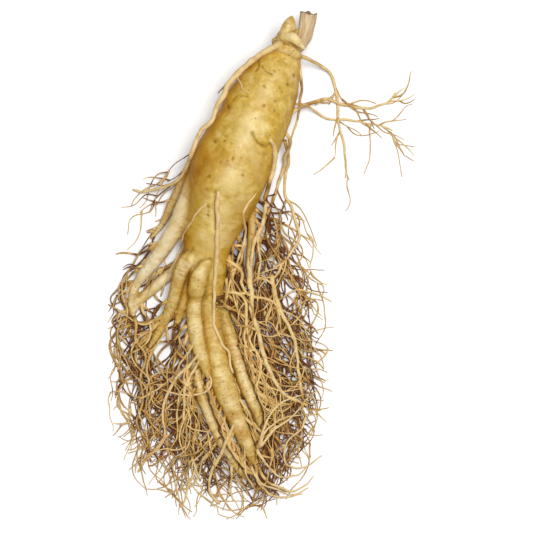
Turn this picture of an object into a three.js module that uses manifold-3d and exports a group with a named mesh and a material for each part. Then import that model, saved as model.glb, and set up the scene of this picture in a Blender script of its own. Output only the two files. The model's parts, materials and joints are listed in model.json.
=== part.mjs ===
// A fresh ginseng root, washed and laid flat: the knobbly crown with a winter bud and the stub of
// last year's stem, a plump body, and the legs and side roots that grow out of it.
// Millimetres, +Z up. The crown points to +Y and the tips to -Y, and the root lies on z = 0.
import * as THREE from "three";
import { mergeVertices } from "three/addons/utils/BufferGeometryUtils.js";
import Module from "manifold-3d";

const wasm = await Module();
wasm.setup();

// Driving dimensions.
const BODY_RADIUS = 17.6; // the thickest part of the body
const NECK_RADIUS = 6.6; // the collar between the body and the crown
const STEM_RADIUS = 3.6; // last year's stem
const TIP_RADIUS = 0.6; // where a thin side root ends
const FIT_GAP = 0.3; // between the crown and the dry stem
const STEP_LENGTH = 4.4; // along a limb, from one ring of corners to the next
const UP = new THREE.Vector3(0, 0, 1);

// Each route is a limb's centreline from where it grows to its tip, as [x, y, z, radius].
const ROUTES = {
  main: [
    [21.2, 84, 18.4, 6], [20.2, 80.4, 18, 7], [18.6, 77.6, 17.6, 8.8], [16.8, 74, 17.2, 10.5],
    [14, 69.2, 16.7, 12.7], [11.2, 63.6, 16.2, 14.2], [8.6, 57.6, 15.9, 15.5], [6, 51.5, 15.8, 16.2],
    [3.3, 45.8, 16, 16.6], [0.2, 40, 16.5, 16.9], [-3, 33.4, 17, BODY_RADIUS], [-5.6, 25.6, 16.4, 16.8],
    [-7.5, 18.2, 15.2, 15], [-9.6, 11, 13.8, 13.2], [-12.8, 2, 12.2, 11.6],
    [-14.4, -7, 10.4, 10], [-14, -14.6, 9.2, 8.4], [-13.2, -21, 8.2, 6.6], [-12.6, -28, 7.2, 5.3],
    [-12.1, -36, 6.2, 4.6], [-11.2, -46, 5.2, 4.6], [-9, -58, 4.8, 4.8], [-5.4, -70.5, 5, 5.1],
    [-1.2, -81.6, 4.3, 4.4], [3, -91.6, 3.6, 3.7], [6.6, -99.6, 2.3, 2.4], [8.4, -104, 1.4, 1.2],
  ],
  crown: [
    [20.4, 81.6, 18.2, 5.6], [21.3, 84.6, 18.6, NECK_RADIUS], [21.9, 87.2, 18.8, 6.2], [22.2, 89.4, 18.8, 5],
    [22.4, 91.4, 18.8, 4.6], [22.6, 93, 18.8, 3.4],
  ],
  winter_bud: [
    [21.4, 88.6, 20.5, 3.6], [22, 91.8, 21.8, 3.4], [22.8, 94.8, 22.6, 2.9], [23.6, 98, 23, 0.9],
  ],
  side_bud: [
    [21.2, 89, 21.4, 3.6], [24.2, 88.6, 23.4, 3.2], [26.9, 86.8, 23.6, 2.1], [29.4, 84.4, 22.6, 0.8],
  ],
  knuckle_web: [
    [-17, -6, 9, 5], [-20.4, -13, 8.4, 5], [-22.6, -21, 7.4, 4.2], [-24.4, -28, 5.8, 3.2],
    [-26.6, -34, 4, 2.2], [-28.4, -40, 2.6, 1.4],
  ],
  knuckle_leg: [
    [-15.2, -9.4, 13.4, 3.6], [-16.6, -14, 14.8, 4.5], [-17.6, -18.8, 14.4, 4.6], [-18.6, -23.4, 12.8, 4.3],
    [-19.2, -27, 11.4, 3.5], [-19.8, -31, 10.8, 3.5], [-19.9, -35, 9.8, 3.6], [-19, -44, 8.8, 3.5],
    [-17.2, -51.4, 8.4, 3.1], [-15.2, -57.8, 8.2, 2.3], [-13.6, -62.6, 7.4, 1],
  ],
  arched_leg: [
    [-15.2, -7.4, 14.4, 3.2], [-20.4, -8.2, 16, 3.4], [-24.6, -12.4, 15.2, 3.3], [-27.2, -19.6, 12.4, 3.1],
    [-29.4, -27.4, 9.2, 2.8], [-32.4, -35, 6, 2.5], [-36.2, -42, 3.4, 2], [-40, -49, 1.7, 1.4],
    [-42.6, -56, 1, 0.9],
  ],
  left_leg: [
    [-12.5, 31, 14.5, 5.2], [-19, 24.6, 15.4, 4.6], [-23.4, 15.6, 14.6, 4.2], [-27.2, 6.4, 12.6, 3.9],
    [-31.6, -1.2, 10.4, 3.8], [-37.2, -9, 8, 3.4], [-43.4, -16.6, 5.4, 2.7], [-47.4, -23, 3.2, 1.9],
    [-49.6, -30.6, 1.5, 1.2], [-50.6, -38.4, 0.9, 0.8],
  ],
  lower_left_leg: [
    [-15, 2.6, 9, 4.6], [-23.4, -8, 5.8, 3.4], [-31.4, -15.8, 3.5, 3], [-39, -22.4, 2.6, 2.7],
    [-45, -28.4, 2, 2.1], [-48.6, -35.6, 1.2, 1.3], [-49.4, -44, 0.8, 0.8],
  ],
  hidden_leg: [
    [-13, 38, 12, 4.6], [-19, 33.4, 9.8, 3.6], [-22.8, 28.4, 8.4, 3.2], [-26.2, 22.3, 6.6, 3],
    [-29.4, 16.6, 4.8, 2.6], [-32.4, 11, 3, 1.9], [-35.6, 5.4, 1.6, 1.2], [-39.6, 0.6, 0.9, 0.7],
  ],
  right_leg: [
    [-12, -20, 6.4, 4], [-8.2, -29, 4.9, 3.4], [-4.4, -41.6, 3.3, 3], [-1, -53, 2.9, 3],
    [2.4, -63.6, 3, 3.1], [5.8, -72.6, 3, 3.1], [8.8, -80, 2.4, 2.5], [11, -87, 1.7, 1.8],
    [12.6, -93.6, 1, 1.1], [13.6, -100.6, 0.7, 0.7],
  ],
  cross_leg: [
    [-9, -28.4, 3.6, 3], [-3.5, -29.5, 3, 2.9], [4.1, -31, 2.8, 2.8], [11.7, -33.5, 2.6, 2.7],
    [17.3, -36, 2.4, 2.4], [21.6, -39.3, 2, 2], [24.6, -43.4, 1.4, 1.4], [26, -48.6, 0.9, 0.9],
  ],
  under_leg: [
    [-15.4, -35, 4.2, 3.4], [-18.6, -47, 3.2, 2.9], [-19.2, -59.6, 3.4, 2.7], [-16.8, -71, 3.7, 2.7],
    [-13.8, -78.8, 3.8, 2.6], [-10.9, -85.8, 3.7, 2.5], [-8.2, -92.2, 3.4, 2.3], [-4.3, -98, 3.2, 2],
    [0, -104, 2.6, 1.7], [5, -109.6, 2.1, 1.4], [11, -114.4, 1.6, 1.1], [17.4, -118, 1.1, 0.9],
    [24.6, -121, 0.8, 0.8],
  ],
  front_root: [
    [-8, 25, 31, 1.5], [-8.7, 15.6, 29.4, 1.3], [-9.1, 5.4, 25.2, 1.25], [-9.4, -4.8, 20.6, 1.2],
    [-9.8, -15, 16.8, 1.2], [-10.8, -25.4, 13.8, 1.2], [-11.6, -37, 11.4, 1.2], [-10, -44.4, 9.9, 1.15],
    [-7, -50.6, 8, 1.1], [-4, -56.6, 6.4, 1], [-3.4, -63.6, 4.4, 0.9], [-1.8, -71, 2.8, 0.7],
  ],
  flank_root: [
    [3.6, 19, 13.5, 2.2], [6.4, 10.4, 11.4, 1.8], [6, 0, 8.2, 1.6], [5, -11.6, 5, 1.7], [5.8, -23, 2.7, 1.7],
    [7, -35.4, 1.6, 1.5], [10, -46.2, 1.2, 1.3], [13.8, -56.4, 1, 1.15], [17.4, -65.4, 0.9, 1],
    [22.6, -71.6, 0.8, 0.9], [29.4, -75.4, 0.7, 0.7],
  ],
  waist_root: [
    [12, 45.6, 14, 1.8], [16.4, 42.6, 13, 1.4], [17, 36.6, 9.8, 1.15], [15.2, 29.6, 6, 1.1], [12.8, 22, 3.4, 1],
    [12.2, 14, 1.8, 0.95], [10.8, 5, 1, 0.9], [9.4, -5, 0.8, 0.8], [9, -15, 0.7, 0.7],
  ],
  shoulder_root: [
    [18, 52.4, 15.5, 1.6], [24.6, 56.6, 12.8, 1.2], [32.2, 61.2, 6.4, 1.1], [39.4, 63.4, 2.4, 1], [47.4, 61.4, 1, 0.9],
    [57.2, 59.9, 0.8, 0.8], [66, 61.2, 0.7, 0.7], [71.6, 65.6, 0.6, TIP_RADIUS],
  ],
  crown_root: [
    [18.8, 86.4, 23.6, 2], [14.2, 83.4, 25.4, 1.6], [8, 79.8, 24, 1.5], [3.4, 76.4, 21.8, 1.45],
    [-0.8, 72.2, 18.8, 1.4], [-4.2, 68.2, 15.8, 1.4], [-6.2, 63.4, 17.4, 1.35], [-8.8, 59, 18.6, 1.3],
    [-10.6, 55, 20, 1.3], [-13, 50.8, 20, 1.25], [-16.4, 47.2, 18.6, 1.25], [-18.8, 43, 18.6, 1.2],
    [-20.8, 37.6, 18, 1.2], [-23, 31.8, 14.4, 1.1], [-27, 27, 8.6, 1], [-33, 23.6, 3, 0.9],
    [-39.6, 22.2, 0.9, 0.8], [-46, 22.8, 0.6, TIP_RADIUS],
  ],
};
const STEM = [
  [24.4, 83.8, 14.2, 2.6], [27.6, 86.6, 14.6, 2.8], [29.6, 90.6, 15.4, 3.3], [30.7, 95.4, 16.4, STEM_RADIUS],
  [31.5, 100.6, 17.4, 3.9],
];

// How many corners go round a limb: more on a thick one.
function sidesFor(radius) {
  return radius > 8 ? 26 : radius > 2.4 ? 11 : 6;
}

// A spindle is turned on the lathe with the route's radii and then bent, so that its axis follows the
// route. Broad, shallow swellings keep a thick limb from being perfectly round.
function limb(route, swelling = 0) {
  const spine = new THREE.CatmullRomCurve3(
    route.map(([x, y, z]) => new THREE.Vector3(x, y, z)), false, "catmullrom");
  const girth = new THREE.CatmullRomCurve3(
    route.map(([, , , radius]) => new THREE.Vector3(radius, 0, 0)), false, "catmullrom");
  const steps = Math.ceil(spine.getLength() / STEP_LENGTH);
  const profile = [new THREE.Vector2(0, 0)];
  for (let i = 0; i <= steps; i++) {
    profile.push(new THREE.Vector2(girth.getPoint(i / steps).x, i / steps));
  }
  profile.push(new THREE.Vector2(0, 1));
  const sides = sidesFor(Math.max(...route.map(([, , , radius]) => radius)));
  const geometry = new THREE.LatheGeometry(profile, sides);
  const position = geometry.getAttribute("position");
  for (let i = 0; i < position.count; i++) {
    const t = position.getY(i);
    const along = spine.getTangent(t);
    const side = new THREE.Vector3().crossVectors(along, UP).normalize();
    const over = new THREE.Vector3().crossVectors(side, along);
    const angle = Math.atan2(position.getZ(i), position.getX(i));
    const swell = 1 + swelling * Math.sin(2 * angle + 9 * t) * Math.sin(31 * t);
    const corner = spine.getPoint(t)
      .addScaledVector(side, position.getX(i) * swell)
      .addScaledVector(over, position.getZ(i) * swell);
    position.setXYZ(i, corner.x, corner.y, corner.z);
  }
  return solid(geometry);
}

// A closed three.js geometry as a manifold solid.
function solid(geometry) {
  geometry.deleteAttribute("normal");
  geometry.deleteAttribute("uv");
  const merged = mergeVertices(geometry, 1e-4);
  return new wasm.Manifold(new wasm.Mesh({
    numProp: 3,
    vertProperties: merged.getAttribute("position").array,
    triVerts: new Uint32Array(merged.index.array),
  }));
}

// A manifold solid as a named three.js mesh.
function piece(name, shape, material) {
  const mesh = shape.getMesh();
  const geometry = new THREE.BufferGeometry();
  geometry.setAttribute("position", new THREE.BufferAttribute(mesh.vertProperties, mesh.numProp));
  geometry.setIndex(new THREE.BufferAttribute(mesh.triVerts, 1));
  geometry.computeVertexNormals();
  const made = new THREE.Mesh(geometry, material);
  made.name = name;
  return made;
}

// What lies below the surface that the root rests on, which flattens the underside a little.
function belowTheTable() {
  const block = new THREE.BoxGeometry(400, 400, 20).translate(0, 0, -10);
  return solid(block);
}

const skin = new THREE.MeshStandardMaterial({ color: 0xdcbd74, roughness: 0.55, metalness: 0 });
const dryStem = new THREE.MeshStandardMaterial({ color: 0xb89a7c, roughness: 0.8, metalness: 0 });

const SWELLING = 0.03;
const limbs = Object.entries(ROUTES).map(([name, route]) => limb(route, name === "main" ? SWELLING : 0));
const widen = (route) => route.map(([x, y, z, radius]) => [x, y, z, radius + FIT_GAP]);
const grown = wasm.Manifold.union(limbs)
  .subtract(limb(widen(STEM)))
  .subtract(belowTheTable());
// Where two limbs only just touch, the cut can leave a loose crumb, so the largest body is the root.
const [socketed] = grown.decompose().sort((a, b) => b.volume() - a.volume());

const ginseng = new THREE.Group();
ginseng.add(piece("root", socketed, skin));
ginseng.add(piece("stem_stub", limb(STEM), dryStem));

// The origin goes under the middle of the whole root.
const middle = new THREE.Box3().setFromObject(ginseng).getCenter(new THREE.Vector3());
ginseng.position.set(-middle.x, -middle.y, 0);

export default ginseng;
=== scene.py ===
# %% [markdown]
# # A fresh ginseng root, washed and laid on a table
# Ginseng is sold as a whole root: a short knobbly crown where each year's stem grew, a plump body,
# legs that fork from it, and a mass of wavy rootlets. This lesson builds the living surface round a
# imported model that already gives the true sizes.
#
# Lengths are written in millimetres, as a gardener would measure them, and turned into Blender's metres
# when a mesh is made.

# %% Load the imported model
import json
import math

import bpy
import numpy as np
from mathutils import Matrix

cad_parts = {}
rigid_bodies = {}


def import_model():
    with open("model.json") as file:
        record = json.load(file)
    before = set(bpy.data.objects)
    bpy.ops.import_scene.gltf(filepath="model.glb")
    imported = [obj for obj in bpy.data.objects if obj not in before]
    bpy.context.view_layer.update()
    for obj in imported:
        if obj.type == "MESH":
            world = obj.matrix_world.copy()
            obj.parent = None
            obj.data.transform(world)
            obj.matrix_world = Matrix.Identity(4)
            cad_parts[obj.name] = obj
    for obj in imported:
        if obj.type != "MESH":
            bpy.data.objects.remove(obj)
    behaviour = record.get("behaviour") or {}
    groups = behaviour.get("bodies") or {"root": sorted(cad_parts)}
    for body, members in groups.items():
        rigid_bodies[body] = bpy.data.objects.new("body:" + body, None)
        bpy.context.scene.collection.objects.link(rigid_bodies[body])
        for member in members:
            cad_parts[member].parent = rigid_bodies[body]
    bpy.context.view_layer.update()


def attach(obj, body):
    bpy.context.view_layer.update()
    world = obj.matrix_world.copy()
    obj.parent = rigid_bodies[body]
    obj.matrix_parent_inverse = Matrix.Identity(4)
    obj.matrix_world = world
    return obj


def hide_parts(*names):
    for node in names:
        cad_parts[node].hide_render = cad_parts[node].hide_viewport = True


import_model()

import openvdb
from mathutils import Vector

MM = 0.001
# The routes below were measured from a point on the body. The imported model's origin is under its middle.
ROUTE_ORIGIN = np.array([10.27, -10.1, 0.0])

# %% [markdown]
# ## Where every limb runs
# A root is easiest to describe as limbs that taper along a bent centreline. Each row is a point on that
# line with the limb's radius there. Blender could sweep each one as a tube, but tubes meet in hard
# creases. Here they only feed a distance field in the next step, which melts them together as flesh.

# %% The limbs, as x, y, z and radius in millimetres
LIMBS = {
    "body": [
        (20.2, 80.4, 18, 6.6), (18.6, 77.6, 17.6, 8.7), (16.8, 74, 17.2, 10.5),
        (14, 69.2, 16.7, 12.7), (11.2, 63.6, 16.2, 14.2), (8.6, 57.6, 15.9, 15.5), (6, 51.5, 15.8, 16.2),
        (3.3, 45.8, 16, 16.6), (0.2, 40, 16.5, 16.9), (-3, 33.4, 17, 17.6), (-5.6, 25.6, 16.4, 16.8),
        (-7.5, 18.2, 15.2, 15), (-9.6, 11, 13.8, 13.2), (-12.8, 2, 12.2, 11.6), (-14.4, -7, 10.4, 10),
        (-14, -14.6, 9.2, 8.4), (-13.2, -21, 8.2, 6.6), (-12.6, -28, 7.2, 5.3), (-12.1, -36, 6.2, 4.6),
        (-11.2, -46, 5.2, 4.6), (-9, -58, 4.8, 4.8), (-5.4, -70.5, 5, 5.1), (-1.2, -81.6, 4.3, 4.4),
        (3, -91.6, 3.6, 3.7), (6.6, -99.6, 2.3, 2.4), (8.4, -104, 1.4, 1.2)],
    "knuckle_web": [
        (-17, -6, 9, 5), (-20.4, -13, 8.4, 5), (-22.6, -21, 7.4, 4.2), (-24.4, -28, 5.8, 3.2),
        (-26.6, -34, 4, 2.2), (-28.4, -40, 2.6, 1.4)],
    "knuckle_leg": [
        (-15.2, -9.4, 13.4, 3.6), (-16.6, -14, 14.8, 4.5), (-17.6, -18.8, 14.4, 4.6),
        (-18.6, -23.4, 12.8, 4.3), (-19.2, -27, 11.4, 3.3), (-19.8, -31, 10.8, 3.5),
        (-19.9, -35, 9.8, 3.6), (-19, -44, 8.8, 3.5), (-17.2, -51.4, 8.4, 3.1), (-15.2, -57.8, 8.2, 2.3),
        (-13.6, -62.6, 7.4, 1)],
    "arched_leg": [
        (-15.2, -7.4, 14.4, 3.2), (-20.4, -8.2, 16, 3.4), (-24.6, -12.4, 15.2, 3.3),
        (-27.2, -19.6, 12.4, 3.1), (-29.4, -27.4, 9.2, 2.8), (-32.4, -35, 6, 2.5), (-36.2, -42, 3.4, 2),
        (-40, -49, 1.7, 1.4), (-42.6, -56, 1, 0.9)],
    "left_leg": [
        (-12.5, 31, 14.5, 5.2), (-19, 24.6, 15.4, 4.6), (-23.4, 15.6, 14.6, 4.2), (-27.2, 6.4, 12.6, 3.9),
        (-31.6, -1.2, 10.4, 3.8), (-37.2, -9, 8, 3.4), (-43.4, -16.6, 5.4, 2.7), (-47.4, -23, 3.2, 1.9),
        (-49.6, -30.6, 1.5, 1.2), (-50.6, -38.4, 0.9, 0.8)],
    "lower_left_leg": [
        (-15, 2.6, 9, 4.6), (-23.4, -8, 5.8, 3.4), (-31.4, -15.8, 3.5, 3), (-39, -22.4, 2.6, 2.7),
        (-45, -28.4, 2, 2.1), (-48.6, -35.6, 1.2, 1.3), (-49.4, -44, 0.9, 0.8)],
    "hidden_leg": [
        (-13, 38, 12, 4.6), (-19, 33.4, 9.8, 3.6), (-22.8, 28.4, 8.4, 3.2), (-26.2, 22.3, 6.6, 3),
        (-29.4, 16.6, 4.8, 2.6), (-32.4, 11, 3, 1.9), (-35.6, 5.4, 1.6, 1.2), (-39.6, 0.6, 0.9, 0.7)],
    "right_leg": [
        (-12, -20, 6.4, 4), (-8.2, -29, 4.9, 3.4), (-4.4, -41.6, 3.3, 3), (-1, -53, 2.9, 3),
        (2.4, -63.6, 3, 3.1), (5.8, -72.6, 3, 3.1), (8.8, -80, 2.4, 2.5), (11, -87, 1.7, 1.8),
        (12.6, -93.6, 1, 1.1), (13.6, -100.6, 0.8, 0.7)],
    "flank_leg": [
        (1.4, 25, 15, 2.6), (4.4, 18, 13, 2.4), (6, 8.6, 10.8, 2), (5.6, -2.6, 7.4, 1.8),
        (4.8, -11, 6, 1.7), (5.2, -17, 5.4, 1.2), (5.4, -20, 5.2, 0.6)],
    "cross_leg": [
        (-9, -28.4, 3.6, 3), (-3.5, -29.5, 3, 2.9), (4.1, -31, 2.8, 2.8), (11.7, -33.5, 2.6, 2.7),
        (17.3, -36, 2.4, 2.4), (21.6, -39.3, 2, 2.1), (24.6, -43.2, 1.7, 1.8), (26.6, -48, 1.4, 1.5),
        (27.6, -54, 1.1, 1.2), (28, -61, 0.9, 0.9), (28.6, -68, 0.8, 0.7)],
    "under_leg": [
        (-15.4, -35, 4.2, 3.4), (-18.6, -47, 3.2, 2.9), (-19.2, -59.6, 3.4, 2.7), (-16.8, -71, 3.7, 2.7),
        (-13.8, -78.8, 3.8, 2.6), (-10.9, -85.8, 3.7, 2.5), (-8.2, -92.2, 3.4, 2.3), (-4.3, -98, 3.4, 2),
        (0, -104, 3.1, 1.7), (5, -109.6, 2.7, 1.3), (11, -114, 2, 1), (17, -117, 1.2, 0.7)],
}
# How far a limb melts into what it grows from, in millimetres.
MELT = {"body": 1.0, "knuckle_web": 2.0, "flank_leg": 1.6, "knuckle_leg": 0.7, "arched_leg": 0.8,
        "left_leg": 3.0, "lower_left_leg": 2.6, "hidden_leg": 2.4, "right_leg": 1.8, "cross_leg": 1.4,
        "under_leg": 1.8}
# How golden (1) or pale (0) its skin is.
GOLD = {"body": 1.0, "knuckle_web": 0.9, "flank_leg": 0.45, "knuckle_leg": 0.7, "arched_leg": 0.55,
        "left_leg": 0.12, "lower_left_leg": 0.3, "hidden_leg": 0.25, "right_leg": 0.45, "cross_leg": 0.8,
        "under_leg": 0.4}
print(len(LIMBS), "limbs,", sum(map(len, LIMBS.values())), "measured points")

# %% [markdown]
# The measured points are far apart, and straight pieces between them would show as facets. A Catmull-Rom
# spline passes through every point it is given. Blender's own curves need handles for that; here a few
# lines of arithmetic bend the centreline and carry its radius along.

# %% Run a smooth line through measured points
LIMB_STEP = 1.6
POINTS_PER_SPAN = 24


def smooth_line(rows, step):
    """A Catmull-Rom line through the rows, cut into even steps. Every column is carried along."""
    rows = np.asarray(rows, float)
    padded = np.vstack([2 * rows[0] - rows[1], rows, 2 * rows[-1] - rows[-2]])
    t = np.linspace(0, 1, POINTS_PER_SPAN, endpoint=False)[:, None]
    spans = []
    for a, b, c, d in zip(padded, padded[1:], padded[2:], padded[3:]):
        spans.append(0.5 * (2 * b + (c - a) * t + (2 * a - 5 * b + 4 * c - d) * t ** 2
                            + (3 * b - a - 3 * c + d) * t ** 3))
    fine = np.vstack([*spans, rows[-1:]])
    reach = np.concatenate([[0], np.cumsum(np.linalg.norm(np.diff(fine[:, :2], axis=0), axis=1) + 1e-9)])
    even = np.linspace(0, reach[-1], max(4, int(round(reach[-1] / step)) + 1))
    return np.stack([np.interp(even, reach, column) for column in fine.T], axis=1)


LINES = {name: smooth_line(rows, LIMB_STEP) for name, rows in LIMBS.items()}
print("steps along the limbs:", {name: len(line) for name, line in LINES.items()})

# %% [markdown]
# ## Melting the limbs into one body
# Where two legs part, real flesh runs smoothly from one to the other. A distance field does this: every
# point of a lattice holds its distance to the nearest limb, and a soft minimum rounds the inner corners.
# Metaballs would do it too, but they can't hold a given radius. Blender ships with OpenVDB, which turns
# the lattice into an even skin of quads, fine enough to carry wrinkles.

# %% A lattice of distances
CELL = 0.54
FIELD_LOW = np.array([-58.0, -126.0, -2.0])
FIELD_HIGH = np.array([36.0, 92.0, 37.0])
FAR = 4.0  # distances are worked out this far from a limb, and are cut off there


def empty_field(low, high, cell):
    """A lattice that is everywhere far from any limb, with the coordinates of its three axes."""
    counts = np.round((np.asarray(high) - low) / cell).astype(int) + 1
    axes = [low[i] + cell * np.arange(counts[i]) for i in range(3)]
    return np.full(counts, FAR, np.float32), axes


def limb_field(axes, line):
    """The distance to one limb, on the block of the lattice that surrounds it."""
    cell = axes[0][1] - axes[0][0]
    low = (line[:, :3] - line[:, 3:] - FAR).min(0)
    high = (line[:, :3] + line[:, 3:] + FAR).max(0)
    start = [max(0, int((low[i] - axes[i][0]) / cell)) for i in range(3)]
    stop = [min(len(axes[i]), int((high[i] - axes[i][0]) / cell) + 2) for i in range(3)]
    block = tuple(slice(a, b) for a, b in zip(start, stop))
    near = np.full([b - a for a, b in zip(start, stop)], FAR, np.float32)
    for a, b in zip(line[:-1], line[1:]):
        lo = np.minimum(a[:3] - a[3], b[:3] - b[3]) - FAR
        hi = np.maximum(a[:3] + a[3], b[:3] + b[3]) + FAR
        i0 = [max(start[i], int((lo[i] - axes[i][0]) / cell)) for i in range(3)]
        i1 = [min(stop[i], int((hi[i] - axes[i][0]) / cell) + 2) for i in range(3)]
        if any(p >= q for p, q in zip(i0, i1)):
            continue
        x = (axes[0][i0[0]:i1[0]] - a[0]).astype(np.float32)[:, None, None]
        y = (axes[1][i0[1]:i1[1]] - a[1]).astype(np.float32)[None, :, None]
        z = (axes[2][i0[2]:i1[2]] - a[2]).astype(np.float32)[None, None, :]
        ab = (b - a).astype(np.float32)
        t = np.clip((x * ab[0] + y * ab[1] + z * ab[2]) / float(ab[:3] @ ab[:3]), 0, 1)
        gap = np.sqrt((x - t * ab[0]) ** 2 + (y - t * ab[1]) ** 2 + (z - t * ab[2]) ** 2)
        part = near[tuple(slice(p - s, q - s) for p, q, s in zip(i0, i1, start))]
        np.minimum(part, gap - a[3] - t * ab[3], out=part)
    return block, near


print("cell, mm:", CELL, "reach of the field, mm:", FAR)

# %% Melt one limb after another into the field
def melt(field, block, near, softness):
    """Joins a limb to the field with a soft minimum, so that the inner corner is rounded."""
    there = field[block]
    share = np.clip(0.5 + 0.5 * (near - there) / softness, 0, 1)
    field[block] = near + (there - near) * share - softness * share * (1 - share)


field, field_axes = empty_field(FIELD_LOW, FIELD_HIGH, CELL)
for name, line in LINES.items():
    melt(field, *limb_field(field_axes, line), MELT[name])
print("lattice", field.shape, "flesh, cm3:", round(float((field < 0).sum()) * CELL ** 3 / 1000, 1))

# %% [markdown]
# The root has been lying down, so its underside is slightly flattened where it meets the table. Cutting
# the field off at the table gives that for nothing.

# %% Flatten the underside and skin the field
TABLE = 0.05  # the flat underside's height


def skin_of(field, axes):
    """The field's zero surface as points in millimetres and quads."""
    grid = openvdb.FloatGrid(FAR)
    grid.copyFromArray(field)
    points, quads = grid.convertToQuads(isovalue=0.0)
    cell = axes[0][1] - axes[0][0]
    return points.astype(float) * cell + [axis[0] for axis in axes], quads.astype(np.int64)


np.maximum(field, TABLE - field_axes[2].astype(np.float32), out=field)
body_points, body_quads = skin_of(field, field_axes)
print("skin:", len(body_points), "points,", len(body_quads), "quads")

# %% [markdown]
# ## Noise that a script can repeat
# Wrinkles, lumps and wandering rootlets all need randomness that comes out the same on every run. A small
# table of seeded random numbers, blended smoothly between its corners, is enough.

# %% Smooth seeded noise
chance = np.random.default_rng(2026)
LATTICE = 32
noise_table = chance.uniform(-1, 1, (LATTICE, LATTICE, LATTICE))


def noise(points, size, shift=0.0):
    """Smooth noise from -1 to 1 whose bumps are about size wide."""
    q = np.asarray(points, float) / size + shift
    cell = np.floor(q).astype(int)
    f = q - cell
    f = f * f * (3 - 2 * f)
    total = np.zeros(len(q))
    for corner in range(8):
        step = np.array([corner & 1, corner >> 1 & 1, corner >> 2 & 1])
        weight = np.prod(np.where(step, f, 1 - f), axis=1)
        i, j, k = ((cell + step) % LATTICE).T
        total += weight * noise_table[i, j, k]
    return total


print("noise spread:", round(float(noise(body_points[:2000], 9.0).std()), 2))

# %% [markdown]
# ## Skin coordinates
# Ginseng skin is marked across its limbs: rings, pits and pale bands all follow the girth. So every skin
# point needs to know how far down which limb it sits, and where round the limb it is. The nearest piece
# of centreline gives both. They also become an attribute that the skin's material stretches its texture by.

# %% The way out of the skin at each point
def normals_of(points, quads):
    """Smooth outward normals of a quad mesh."""
    a, b, c, d = (points[quads[:, i]] for i in range(4))
    face = np.cross(c - a, d - b)
    normal = np.zeros_like(points)
    for i in range(4):
        np.add.at(normal, quads[:, i], face)
    return normal / np.maximum(np.linalg.norm(normal, axis=1, keepdims=True), 1e-12)


body_normals = normals_of(body_points, body_quads)
print("share of the skin that faces up:", round(float((body_normals[:, 2] > 0).mean()), 2))

# %% Find each skin point's place on its limb
MARGIN = 6.0  # skin farther from a limb than this belongs to another
SHARING = 1.2  # how quickly a point's share in a second limb falls off


def limb_place(points, line):
    """Gap to a limb, distance along it, and the sideways and upward offsets from its centreline."""
    gap = np.full(len(points), 1e3)
    along = np.zeros(len(points))
    side = np.zeros(len(points))
    over = np.zeros(len(points))
    reach = np.concatenate([[0], np.cumsum(np.linalg.norm(np.diff(line[:, :3], axis=0), axis=1))])
    low = (line[:, :3] - line[:, 3:]).min(0) - MARGIN
    high = (line[:, :3] + line[:, 3:]).max(0) + MARGIN
    near = np.flatnonzero(((points > low) & (points < high)).all(1))
    for i, (a, b) in enumerate(zip(line[:-1], line[1:])):
        p = points[near] - a[:3]
        ab = b[:3] - a[:3]
        t = np.clip(p @ ab / (ab @ ab), 0, 1)
        out = p - t[:, None] * ab
        g = np.linalg.norm(out, axis=1) - a[3] - t * (b[3] - a[3])
        closer = g < gap[near]
        across = np.cross(ab / np.linalg.norm(ab), [0, 0, 1.0])
        across /= np.linalg.norm(across)
        rise = np.cross(across, ab / np.linalg.norm(ab))
        hit = near[closer]
        gap[hit] = g[closer]
        along[hit] = reach[i] + t[closer] * (reach[i + 1] - reach[i])
        side[hit] = out[closer] @ across
        over[hit] = out[closer] @ rise
    return gap, along, side, over


def skin_places(points, lines):
    """The nearest limb's index and skin coordinates for every point, and each limb's share of it."""
    places = [limb_place(points, line) for line in lines]
    gaps = np.stack([place[0] for place in places])
    owner = gaps.argmin(0)
    pick = np.arange(len(points))
    along, side, over = (np.stack([place[i] for place in places])[owner, pick] for i in (1, 2, 3))
    share = np.exp(-(gaps - gaps.min(0)) / SHARING)
    return owner, along, side, over, share / share.sum(0)


names = list(LINES)
owner, along, side, over, share = skin_places(body_points, LINES.values())
print("skin points per limb:", {n: int((owner == i).sum()) for i, n in enumerate(names)})

# %% [markdown]
# ## Lumps, rings and pits
# A smooth spindle looks like plastic. Real skin swells and dips gently, has fine ring creases that are
# crowded near the crown, and small pits where rootlets broke off. A sculptor would brush these on. Moving
# the points along their normals by a sum of small functions does the same and can be repeated.

# %% Ring creases
def ring_creases(along, angle, spots, rng):
    """Shallow creases that run part of the way round a limb, at the given distances along it."""
    relief = np.zeros(len(along))
    for spot in spots:
        middle, reach = rng.uniform(-math.pi, math.pi), rng.uniform(0.5, 1.7)
        turn = np.abs((angle - middle + math.pi) % (2 * math.pi) - math.pi)
        wander = 0.5 * np.sin(2 * angle + rng.uniform(0, 6)) + 0.3 * np.sin(5 * angle + rng.uniform(0, 6))
        depth, width = rng.uniform(0.5, 1.0), rng.uniform(0.35, 0.6)
        here = np.exp(-((along - spot - wander) / width) ** 2) * np.clip((reach - turn) / 0.35, 0, 1)
        relief = np.maximum(relief, depth * here)
    return relief


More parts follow.
